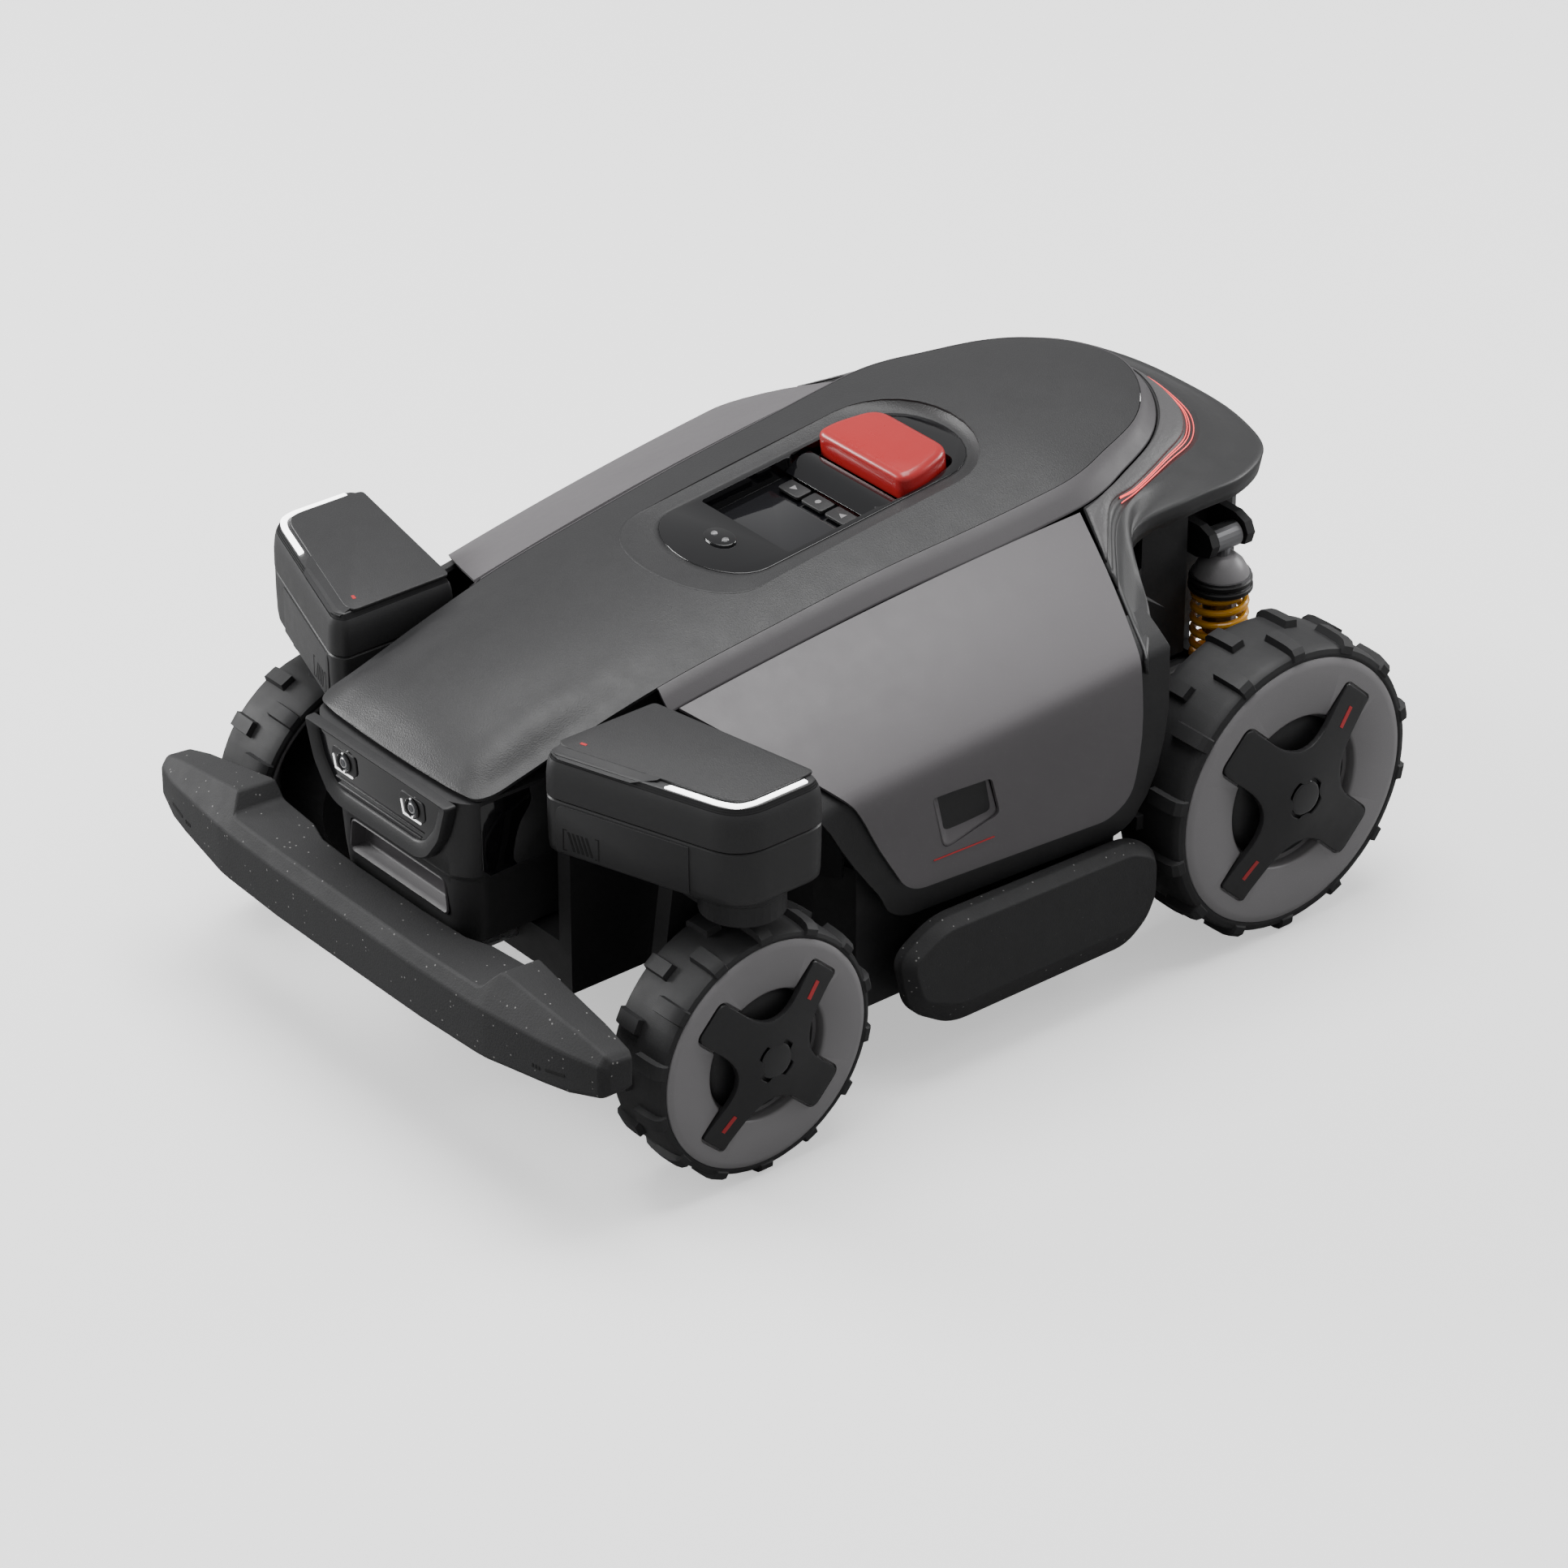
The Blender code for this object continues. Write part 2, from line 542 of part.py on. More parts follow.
def rear_body():
    """The rear housing between the wheels, with the brackets that carry the two shock absorbers."""
    half = [
        (0.0, 0.3300), (0.0780, 0.3270), (0.0900, 0.3120), (0.0900, 0.2520), (0.1180, 0.2440),
        (0.1200, 0.2000), (0.1480, 0.1440), (0.1650, 0.1230), (0.2180, 0.1190),
    ]
    inner = [
        (0.2180, 0.1160), (0.1620, 0.1195), (0.1440, 0.1420), (0.1165, 0.1990), (0.1145, 0.2415),
        (0.0865, 0.2490), (0.0865, 0.3100), (0.0760, 0.3235), (0.0, 0.3262),
    ]
    outline = half + inner + [(-x, y) for x, y in reversed(inner[:-1])] + [(-x, y) for x, y in reversed(half[1:])]
    body = extrude_outline("rear_body", outline, 0.1653, 0.2470, "frame_plastic")
    half, inner = half[:6], inner[-6:]
    outline = half + inner + [(-x, y) for x, y in reversed(inner[:-1])] + [(-x, y) for x, y in reversed(half[1:])]
    pieces = [extrude_outline("rear_body_crown", outline, 0.2400, 0.2750, None)]
    floor = [(0.2150, 0.1185), (0.1660, 0.1215), (0.1470, 0.1430), (0.1185, 0.1995), (0.1165, 0.2430), (0.0885, 0.2500)]
    floor += [(0.0885, 0.3110), (0.0770, 0.3255)]
    floor += [(0.0, 0.3280)] + [(-x, y) for x, y in reversed(floor)] + [(-0.2150, 0.0900), (0.2150, 0.0900)]
    pieces.append(extrude_outline("rear_body_floor", floor, 0.1653, 0.1700, None))
    for word, side in SIDES:
        for i, y in enumerate((SHOCK_Y - 0.0165, SHOCK_Y + 0.0165)):
            outline = [
                (side * 0.0870, 0.2600), (side * 0.0870, 0.2360), (side * (SHOCK_X - 0.0040), 0.2350),
                (side * (SHOCK_X + 0.0090), 0.2390), (side * (SHOCK_X + 0.0120), 0.2480),
                (side * (SHOCK_X + 0.0080), 0.2560), (side * (SHOCK_X - 0.0020), 0.2600),
            ]
            pieces.append(
                extrude_outline(f"clevis_{word}_{i}", outline, y - 0.0035, y + 0.0035, None, "XZ")
            )
        pieces.append(
            cylinder(f"clevis_bolt_{word}", (side * SHOCK_X, SHOCK_Y, SHOCK_TOP_Z), (0, 1, 0), 0.0040, 0.0380, None, 12)
        )
    join(body, *pieces)


def head():
    """The camera housing under the nose, on the column that joins it to the front axle."""
    upper = [(0.0830, -0.2600), (0.0850, -0.3400), (0.0700, -0.3530), (0.0, -0.3550)]
    column = [(0.0740, -0.2500), (0.0760, -0.3220), (0.0580, -0.3410), (0.0, -0.3440)]
    housing = extrude_outline(
        "head_housing", upper + [(-x, y) for x, y in reversed(upper[:-1])], 0.1850, 0.2440, "gloss_black"
    )
    neck = extrude_outline(
        "head_neck", column + [(-x, y) for x, y in reversed(column[:-1])], 0.1302, 0.1900, None
    )
    join(housing, neck)
    chin = box("chin_recess", (-0.0500, -0.3600, 0.1500), (0.0500, -0.3360, 0.1740), None)
    boolean(housing, chin)
    outer = [(0.0775, 0.2430), (0.0600, 0.2060), (0.0440, 0.1960), (-0.0440, 0.1960), (-0.0600, 0.2060), (-0.0775, 0.2430)]
    inner = [(0.0640, 0.2405), (0.0500, 0.2150), (0.0380, 0.2070), (-0.0380, 0.2070), (-0.0500, 0.2150), (-0.0640, 0.2405)]
    bezel = extrude_outline("camera_bezel", outer, -0.3630, -0.3553, "star_plastic", "XZ")
    hole = extrude_outline("bezel_hole", inner, -0.3700, -0.3500, None, "XZ")
    boolean(bezel, hole)
    face = [(x * 0.985, 0.2240 + (z - 0.2240) * 0.95) for x, z in inner]
    camera = extrude_outline("stereo_camera", face, -0.3590, -0.3553, "gloss_black", "XZ")
    eyes = [cylinder(f"lens_{s}", (s * 0.0377, -0.3590, 0.2310), (0, 1, 0), 0.0065, 0.0050, None, 16) for s in (1, -1)]
    join(camera, *eyes)


def front_axle():
    """The fixed beam under the head with its two legs, which carry the steering pods."""
    beam = box("front_axle", (-0.1200, -0.2900, 0.1000), (0.1200, -0.2300, 0.1298), "frame_plastic")
    tongue = box("axle_tongue", (-0.0500, -0.2500, 0.1020), (0.0500, -0.1853, 0.1280), None)
    legs = []
    for word, side in SIDES:
        legs.append(
            box(f"pod_leg_{word}", (side * 0.1070, -0.2950, 0.1000), (side * 0.1200, -0.2200, POD_BOTTOM_Z - GAP), None)
        )
    join(beam, tongue, *legs)
    for word, side in SIDES:
        socket = cylinder(
            f"bumper_socket_{word}", (side * BUMPER_ROD_X, -0.2740, BUMPER_ROD_Z), (0, 1, 0), 0.0053, 0.0480, None, 16
        )
        boolean(beam, socket)


def pod_outline(side, inset=0.0):
    """Plan of a steering pod: a wing swept back towards its outer end, with rounded outer corners."""
    points = [
        (0.1090, -0.2150), (0.2380, -0.1905), (0.2500, -0.1960), (0.2570, -0.2080), (0.2580, -0.2480),
        (0.2500, -0.2640), (0.2360, -0.2720), (0.1200, -0.3110), (0.1090, -0.3050),
    ]
    return offset_outline([(side * x, y) for x, y in points], -inset)


def pods():
    """The two steering pods, each a lower case and a cap with a light strip."""
    for word, side in SIDES:
        lower = extrude_outline(f"pod_lower_{word}", pod_outline(side, 0.0015), POD_BOTTOM_Z, POD_SEAM_Z, "cover_plastic")
        bevel(lower, 0.0040, 2)
        hollow = extrude_outline(
            f"pod_hollow_{word}", pod_outline(side, 0.0050), POD_BOTTOM_Z + 0.0040, POD_SEAM_Z + 0.01, None
        )
        boolean(lower, hollow)
        seat = cylinder(f"kingpin_seat_{word}", (side * KINGPIN_X, FRONT_AXLE_Y, 0.2150), (0, 0, 1), 0.0103, 0.0200, None)
        boolean(lower, seat)
        upper = extrude_outline(
            f"pod_upper_{word}", pod_outline(side), POD_SEAM_Z + GAP, POD_TOP_Z - 0.0008, "cover_plastic"
        )
        bevel(upper, 0.0040, 2, 60)
        groove = extrude_outline(f"lamp_groove_{word}", lamp_outline(side, GAP), POD_TOP_Z - 0.0060, POD_TOP_Z + 0.01, None)
        boolean(upper, groove)
        extrude_outline(f"pod_light_{word}", lamp_outline(side, 0.0), POD_TOP_Z - 0.0057, POD_TOP_Z, "lamp_white")


def lamp_outline(side, spread):
    """The V-shaped light strip along the pod's front and outer edges."""
    points = [
        (0.1985, -0.2790), (0.2380, -0.2660), (0.2495, -0.2590), (0.2525, -0.2480), (0.2515, -0.2020),
        (0.2470, -0.2020), (0.2478, -0.2470), (0.2455, -0.2555), (0.2360, -0.2615), (0.1998, -0.2735),
    ]
    return offset_outline([(side * x, y) for x, y in points], spread)


def steering_forks():
    """Each front fork: a kingpin in its pod, a bridge, a plate inside the wheel and the hub motor."""
    for word, side in SIDES:
        x = side * KINGPIN_X
        fork = cylinder(
            f"steering_fork_{word}", (x, FRONT_AXLE_Y, 0.2048), (0, 0, 1), 0.0290, 0.0185, "frame_plastic", 32
        )
        bridge = box(
            f"fork_bridge_{word}", (side * 0.1680, FRONT_AXLE_Y - 0.0220, 0.1960), (x, FRONT_AXLE_Y + 0.0220, 0.2120), None
        )
        plate = extrude_outline(
            f"fork_plate_{word}",
            [(-0.2570, 0.2120), (-0.2130, 0.2120), (-0.1990, 0.1100), (-0.2150, 0.0560), (-0.2550, 0.0560), (-0.2710, 0.1100)],
            side * 0.1680,
            side * 0.1820,
            None,
            "YZ",
        )
        motor = cylinder(
            f"fork_motor_{word}",
            (side * 0.2020, FRONT_AXLE_Y, FRONT_WHEEL["tip"]),
            (1, 0, 0),
            0.0480,
            0.0500,
            None,
            32,
        )
        kingpin = cylinder(f"kingpin_{word}", (x, FRONT_AXLE_Y, 0.2200), (0, 0, 1), 0.0100, 0.0300, None)
        join(fork, bridge, plate, motor, kingpin)


def tyre(name, wheel, place):
    """A turned tyre whose tread is raised in cross bars, built as rings of points at uneven angles."""
    half = wheel["width"] / 2
    bead = wheel["ring"] * 0.965
    tread, tip = wheel["tread"], wheel["tip"]
    # (radius without a bar, radius on a bar, offset across the tyre)
    section = (
        (bead, bead, half - 0.0020),
        (wheel["ring"] + 0.0010, wheel["ring"] + 0.0010, half),
        (tread - 0.0040, tip - 0.0040, half - 0.0015),
        (tread, tip, half * 0.66),
        (tread + 0.0002, tip, -half * 0.66),
        (tread - 0.0040, tip - 0.0040, -half + 0.0015),
        (wheel["ring"] + 0.0010, wheel["ring"] + 0.0010, -half),
        (bead, bead, -half + 0.0020),
    )
    pitch = 2 * math.pi / LUGS
    bm = bmesh.new()
    rings = []
    for lug in range(LUGS):
        for share, raised in ((0.0, True), (0.22, True), (0.30, False), (0.92, False)):
            angle = (lug + share) * pitch
            ring = []
            for plain, bar, offset in section:
                radius = bar if raised else plain
                ring.append(bm.verts.new((radius * math.cos(angle), radius * math.sin(angle), offset)))
            rings.append(ring)
    for i, ring in enumerate(rings):
        following = rings[(i + 1) % len(rings)]
        for j in range(len(ring)):
            k = (j + 1) % len(ring)
            bm.faces.new((ring[j], ring[k], following[k], following[j]))
    obj = add_object(name, bm, "tyre_rubber")
    obj.matrix_world = place
    return obj


def rim(name, wheel, place):
    """The grey ring with its barrel, closed by a web that carries the hub."""
    ring = wheel["ring"]
    half = wheel["width"] / 2
    outer = ring * 0.965 * math.cos(0.31 * 2 * math.pi / LUGS) - GAP
    barrel = ring * 0.90
    hole = ring * 0.57
    face = half + 0.0015
    hub_end = wheel["motor_x"] + GAP - (wheel["face_x"] - face)
    profile = (
        (0.0, face - 0.0090),
        (hole, face - 0.0090),
        (hole, face - 0.0010),
        (hole + 0.0040, face),
        (ring * 0.955, face),
        (ring * 0.995, face - 0.0014),
        (ring * 0.995, half + GAP),
        (outer, half - 0.0020),
        (outer, -half + 0.0060),
        (barrel, -half + 0.0060),
        (barrel, face - 0.0125),
        (0.0140, face - 0.0125),
        (0.0140, hub_end),
        (0.0, hub_end),
    )
    return turned(name, profile, place, "ring_grey")


def star(name, wheel, place):
    """The wheel cover: two long narrow arms and two short wide arms on a round hub."""
    ring = wheel["ring"]
    face = wheel["width"] / 2 + 0.0015
    # corners of one arm's half and the next arm's half, in shares of the ring's radius
    corner = ((0.825, 0.14), (0.55, 0.14), (0.2725, 0.2325), (0.18, 0.51), (0.18, 0.79))
    half = [(ring * x, ring * y) for x, y in corner]
    half += [(-x, y) for x, y in reversed(half)]
    outline = half + [(-x, -y) for x, y in half]
    cover = extrude_outline(name, outline, face + GAP, face + wheel["proud"], "star_plastic")
    cover.matrix_world = place
    bevel(cover, 0.0028, 1)
    stem = cylinder(f"{name}_stem", (0, 0, face - 0.0040), (0, 0, 1), ring * 0.34, 0.0090, None, 24)
    stem.matrix_world = place
    join(cover, stem)
    return cover


def wheels():
    """Tyre, rim and cover of each wheel, placed on its axle."""
    for row, wheel, y in (("front", FRONT_WHEEL, FRONT_AXLE_Y), ("rear", REAR_WHEEL, REAR_AXLE_Y)):
        for word, side in SIDES:
            middle = side * (wheel["face_x"] - 0.0015 - wheel["width"] / 2)
            outward = Matrix.Translation((middle, y, wheel["tip"])) @ Matrix.Rotation(side * math.pi / 2, 4, "Y")
            place = outward @ Matrix.Rotation(-side * STAR_LEAN, 4, "Z")
            tyre(f"{row}_tyre_{word}", wheel, place)
            rim(f"{row}_rim_{word}", wheel, outward @ Matrix.Rotation(RIM_TURN, 4, "Z"))
            star(f"{row}_star_{word}", wheel, place)


def rear_arms():
    """The swinging arms, each with its pivot tube and bolt, hub motor and lugs for the shock absorber."""
    for word, side in SIDES:
        outline = [
            (side * 0.0570, 0.2000), (side * 0.0570, 0.2980), (side * 0.0750, 0.2980), (side * 0.1340, 0.2860),
            (side * 0.1600, 0.2600), (side * 0.1600, 0.2050), (side * 0.1300, 0.2040), (side * 0.0750, 0.1960),
        ]
        arm = extrude_outline(f"rear_arm_{word}", outline, 0.0970, 0.1130, "frame_plastic")
        tube = cylinder(f"arm_tube_{word}", (side * ARM_PIVOT.x, 0.2465, ARM_PIVOT.z), (0, 1, 0), 0.0110, 0.1104, None, 20)
        bolt = cylinder(f"arm_bolt_{word}", (side * ARM_PIVOT.x, 0.2465, ARM_PIVOT.z), (0, 1, 0), 0.0040, 0.1290, None, 16)
        carrier = box(f"arm_carrier_{word}", (side * 0.1560, 0.2000, 0.0780), (side * 0.1720, 0.2700, 0.1480), None)
        motor = cylinder(
            f"arm_motor_{word}", (side * 0.1910, REAR_AXLE_Y, REAR_WHEEL["tip"]), (1, 0, 0), 0.0580, 0.0460, None, 32
        )
        lugs = []
        for i, y in enumerate((SHOCK_Y - 0.0110, SHOCK_Y + 0.0060)):
            low = (side * (SHOCK_X - 0.0090), y, 0.1050)
            high = (side * (SHOCK_X + 0.0090), y + 0.0050, 0.1330)
            lugs.append(box(f"arm_lug_{word}_{i}", low, high, None))
        pin = cylinder(
            f"arm_pin_{word}", (side * SHOCK_X, SHOCK_Y, SHOCK_FOOT_Z), (0, 1, 0), 0.0040, 0.0200, None, 12
        )
        join(arm, tube, bolt, carrier, motor, *lugs, pin)


def eye(name, x, z, hole, radius, width):
    """A ring about the Y axis through (x, z), as a union piece."""
    ring = cylinder(name, (x, SHOCK_Y, z), (0, 1, 0), radius, width, None, 20)
    bore = cylinder(f"{name}_bore", (x, SHOCK_Y, z), (0, 1, 0), hole, width * 2, None, 16)
    return ring, bore


def shocks():
    """The shock absorbers: a body with its upper eye, a rod with its spring seat and lower eye, and a coil."""
    for word, side in SIDES:
        x = side * SHOCK_X
        body = cylinder(f"shock_body_{word}", (x, SHOCK_Y, 0.1960), (0, 0, 1), 0.0120, 0.0450, "alloy", 20)
        collar = cylinder(f"shock_collar_{word}", (x, SHOCK_Y, 0.2135), (0, 0, 1), 0.0215, 0.0100, None, 24)
        cap = cylinder(f"shock_cap_{word}", (x, SHOCK_Y, 0.2250), (0, 0, 1), 0.0190, 0.0150, None, 24, 0.0070)
        neck = cylinder(f"shock_neck_{word}", (x, SHOCK_Y, 0.2330), (0, 0, 1), 0.0060, 0.0180, None, 16)
        ring, bore = eye(f"shock_eye_{word}", x, SHOCK_TOP_Z, 0.0046, 0.0095, 0.0220)
        join(body, collar, cap, neck, ring)
        boolean(body, bore)
        seat_hole = cylinder(f"shock_bore_{word}", (x, SHOCK_Y, 0.1850), (0, 0, 1), 0.0050, 0.0500, None, 16)
        boolean(body, seat_hole)
        rod = cylinder(f"shock_rod_{word}", (x, SHOCK_Y, 0.1700), (0, 0, 1), 0.0045, 0.0620, "steel", 16)
        seat = cylinder(f"shock_seat_{word}", (x, SHOCK_Y, 0.1430), (0, 0, 1), 0.0210, 0.0040, None, 24)
        foot, foot_bore = eye(f"shock_foot_{word}", x, SHOCK_FOOT_Z, 0.0052, 0.0095, 0.0080)
        web = cylinder(f"shock_web_{word}", (x, SHOCK_Y, 0.1370), (0, 0, 1), 0.0038, 0.0100, None, 12)
        join(rod, seat, foot, web)
        boolean(rod, foot_bore)
        coil(f"shock_spring_{word}", x, 0.1482, 0.2054, 0.0183, 0.0026, 6)


def coil(name, x, low, high, radius, wire, turns, per_turn=16):
    """A spring of round wire about a vertical line."""
    curve = bpy.data.curves.new(name, "CURVE")
    curve.dimensions = "3D"
    curve.bevel_depth = wire
    curve.bevel_resolution = 2
    curve.use_fill_caps = True
    spline = curve.splines.new("POLY")
    spline.points.add(turns * per_turn)
    for i, point in enumerate(spline.points):
        angle = 2 * math.pi * i / per_turn
        height = low + (high - low) * i / (turns * per_turn)
        point.co = (x + radius * math.cos(angle), SHOCK_Y + radius * math.sin(angle), height, 1.0)
    obj = bpy.data.objects.new(name, curve)
    PARTS.objects.link(obj)
    curve.materials.append(material("spring_yellow"))
    return obj


def bumper():
    """The foam front bumper: raised swept ends, a lower middle and a chamfer along its top front edge."""
    stations = (
        # x, front y, rear y, bottom z, foot of the chamfer z, top front y, top z
        (0.2485, -0.3665, -0.3440, 0.1130, 0.1360, -0.3640, 0.1400),
        (0.2000, -0.3810, -0.3430, 0.1050, 0.1380, -0.3680, 0.1520),
        (0.1480, -0.3890, -0.3410, 0.1010, 0.1400, -0.3720, 0.1620),
        (0.1360, -0.3895, -0.3400, 0.1005, 0.1390, -0.3830, 0.1490),
        (0.0700, -0.3915, -0.3520, 0.1000, 0.1390, -0.3845, 0.1490),
    )
    sections = []
    for x, front, rear, bottom, chamfer, top_front, top in stations:
        sections.append(
            [(x, rear, bottom), (x, front, bottom + 0.004), (x, front, chamfer), (x, top_front, top), (x, rear, top - 0.002)]
        )
    for section in reversed(sections[:]):
        sections.append([(-x, y, z) for x, y, z in section])
    foam = loft("front_bumper", sections, "foam_guard")
    for word, side in SIDES:
        rod = cylinder(
            f"bumper_rod_{word}", (side * BUMPER_ROD_X, -0.3210, BUMPER_ROD_Z), (0, 1, 0), 0.0050, 0.1180, None, 16
        )
        boolean(foam, rod, "UNION")


def deck():
    """The blade motor in its floating housing, the blade disc under it and three pivoting blades."""
    housing = cylinder("cutting_deck", (0, DECK_Y, 0.1290), (0, 0, 1), 0.0420, 0.0780, "frame_plastic", 28)
    shaft = cylinder("blade_shaft", (0, DECK_Y, 0.0760), (0, 0, 1), 0.0060, 0.0400, None, 16)
    join(housing, shaft)
    disc = cylinder("blade_disc", (0, DECK_Y, BLADE_DISC_Z), (0, 0, 1), BLADE_DISC_R, 0.0040, "steel", 36)
    hub = cylinder("disc_hub", (0, DECK_Y, 0.0640), (0, 0, 1), 0.0200, 0.0150, None, 20)
    bore = cylinder("disc_bore", (0, DECK_Y, 0.0660), (0, 0, 1), 0.0064, 0.0220, None, 16)
    join(disc, hub)
    boolean(disc, bore)
    pins = []
    for i in range(3):
        angle = math.radians(90 + 120 * i)
        x, y = BLADE_PIVOT_R * math.cos(angle), DECK_Y + BLADE_PIVOT_R * math.sin(angle)
        pins.append(cylinder(f"blade_pin_{i + 1}", (x, y, BLADE_DISC_Z - 0.0035), (0, 0, 1), 0.0025, 0.0070, None, 10))
        blade = box(f"blade_{i + 1}", (-0.0050, -0.0060, -0.0007), (0.0290, 0.0060, 0.0), "steel")
        blade.matrix_world = Matrix.Translation((x, y, BLADE_DISC_Z - 0.0030)) @ Matrix.Rotation(angle, 4, "Z")
        hole = cylinder(f"blade_hole_{i + 1}", (0, 0, 0), (0, 0, 1), 0.0029, 0.0100, None, 10)
        hole.matrix_world = blade.matrix_world
        boolean(blade, hole)
    join(disc, *pins)


clear_scene()
PARTS = new_collection("robotic_lawn_mower")
CUTTERS = new_collection("cutters")
CUTTERS.hide_render = True

upper_cover()
console()
shoulder_band()
side_covers()
tail()
chassis()
rear_body()
head()
front_axle()
pods()
steering_forks()
wheels()
rear_arms()
shocks()
bumper()
deck()
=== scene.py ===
"""Robotic lawn mower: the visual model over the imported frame.

Frame: +X is the mower's left, -Y its front, +Z up; the ground is z = 0 and the axles straddle Y = 0.
Lengths are in metres.
"""

import math

import bmesh
import bpy
from mathutils import Matrix, Vector


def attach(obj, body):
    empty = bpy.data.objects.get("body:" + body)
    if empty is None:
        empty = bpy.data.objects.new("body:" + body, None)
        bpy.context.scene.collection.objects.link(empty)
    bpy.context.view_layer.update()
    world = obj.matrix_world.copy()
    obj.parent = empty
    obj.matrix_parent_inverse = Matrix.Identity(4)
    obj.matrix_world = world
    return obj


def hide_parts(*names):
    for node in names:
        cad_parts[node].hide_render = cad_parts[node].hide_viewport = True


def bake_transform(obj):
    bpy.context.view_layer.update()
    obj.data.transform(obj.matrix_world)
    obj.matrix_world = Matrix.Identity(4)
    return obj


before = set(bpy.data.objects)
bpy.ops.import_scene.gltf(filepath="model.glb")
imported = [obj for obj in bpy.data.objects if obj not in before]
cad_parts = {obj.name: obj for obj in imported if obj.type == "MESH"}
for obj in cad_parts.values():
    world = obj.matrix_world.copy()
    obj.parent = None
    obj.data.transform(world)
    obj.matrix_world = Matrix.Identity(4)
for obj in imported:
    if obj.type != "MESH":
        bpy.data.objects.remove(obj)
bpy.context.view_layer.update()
SIDES = (("left", 1), ("right", -1))
CONSOLE_PITCH = math.radians(6.0)
CONSOLE_CENTRE = Vector((0.0, 0.0060, 0.3215))
STEER_AXIS_X = 0.2235
SHOCK_X = 0.1200
SHOCK_Y = 0.2750
LUGS = 14  # tread bars on each shoulder of a tyre
STAR_LEAN = math.radians(43)  # turn of the wheel covers in the photograph


# ---------------------------------------------------------------- materials


def new_material(name):
    made = bpy.data.materials.new(name)
    made.use_nodes = True
    return made, made.node_tree.nodes, made.node_tree.links, made.node_tree.nodes["Principled BSDF"]


def object_coordinates(nodes):
    return nodes.new("ShaderNodeTexCoord").outputs["Object"]


def noise(nodes, links, where, scale, detail=2.0, roughness=0.5):
    texture = nodes.new("ShaderNodeTexNoise")
    texture.inputs["Scale"].default_value = scale
    texture.inputs["Detail"].default_value = detail
    texture.inputs["Roughness"].default_value = roughness
    links.new(where, texture.inputs["Vector"])
    return texture.outputs["Fac"]


def cells(nodes, links, where, scale, feature="SMOOTH_F1"):
    texture = nodes.new("ShaderNodeTexVoronoi")
    texture.feature = feature
    texture.inputs["Scale"].default_value = scale
    links.new(where, texture.inputs["Vector"])
    return texture


def remap(nodes, links, value, low, high, to_low, to_high):
    node = nodes.new("ShaderNodeMapRange")
    for socket, number in zip(("From Min", "From Max", "To Min", "To Max"), (low, high, to_low, to_high)):
        node.inputs[socket].default_value = number
    links.new(value, node.inputs["Value"])
    return node.outputs["Result"]


def mix_colours(nodes, links, factor, first, second):
    node = nodes.new("ShaderNodeMix")
    node.data_type = "RGBA"
    links.new(factor, node.inputs["Factor"])
    for socket, colour in ((node.inputs[6], first), (node.inputs[7], second)):
        if isinstance(colour, tuple):
            socket.default_value = (*colour, 1.0)
        else:
            links.new(colour, socket)
    return node.outputs[2]


def bump(nodes, links, shader, height, distance):
    node = nodes.new("ShaderNodeBump")
    node.inputs["Distance"].default_value = distance
    links.new(height, node.inputs["Height"])
    links.new(node.outputs["Normal"], shader.inputs["Normal"])


def moulded(name, colour, roughness, grain, depth, leather=False, specks=None, coat=0.0):
    """Moulded plastic or rubber: a tone that drifts a little, a fine grain, and specks if asked."""
    made, nodes, links, shader = new_material(name)
    where = object_coordinates(nodes)
    drift = noise(nodes, links, where, 9.0, 3.0)
    tone = mix_colours(
        nodes, links, drift, tuple(c * 0.90 for c in colour), tuple(min(1.0, c * 1.10) for c in colour)
    )
    if specks:
        scale, share, speck_colour = specks
        spots = cells(nodes, links, where, scale, "F1")
        size = remap(nodes, links, spots.outputs["Distance"], 0.16, 0.24, 1.0, 0.0)
        chosen = nodes.new("ShaderNodeSeparateColor")
        links.new(spots.outputs["Color"], chosen.inputs["Color"])
        rare = remap(nodes, links, chosen.outputs["Red"], 1.0 - share, 1.0 - share + 0.01, 0.0, 1.0)
        spot = nodes.new("ShaderNodeMath")
        spot.operation = "MULTIPLY"
        links.new(size, spot.inputs[0])
        links.new(rare, spot.inputs[1])
        tone = mix_colours(nodes, links, spot.outputs["Value"], tone, speck_colour)
    links.new(tone, shader.inputs["Base Color"])
    wear = noise(nodes, links, where, 60.0, 4.0, 0.6)
    links.new(
        remap(nodes, links, wear, 0.3, 0.7, roughness - 0.04, roughness + 0.04), shader.inputs["Roughness"],
    )
    shader.inputs["Coat Weight"].default_value = coat
    shader.inputs["Coat Roughness"].default_value = 0.05
    if leather:
        height = cells(nodes, links, where, grain).outputs["Distance"]
    else:
        height = noise(nodes, links, where, grain, 3.0, 0.6)
    bump(nodes, links, shader, height, depth)
    return made


def glowing(name, colour, strength):
    """A lit diffuser whose tone drifts a little."""
    made, nodes, links, shader = new_material(name)
    where = object_coordinates(nodes)
    tone = mix_colours(
        nodes, links, noise(nodes, links, where, 120.0), tuple(c * 0.94 for c in colour), colour,
    )
    links.new(tone, shader.inputs["Base Color"])
    links.new(tone, shader.inputs["Emission Color"])
    shader.inputs["Emission Strength"].default_value = strength
    shader.inputs["Roughness"].default_value = 0.3
    return made


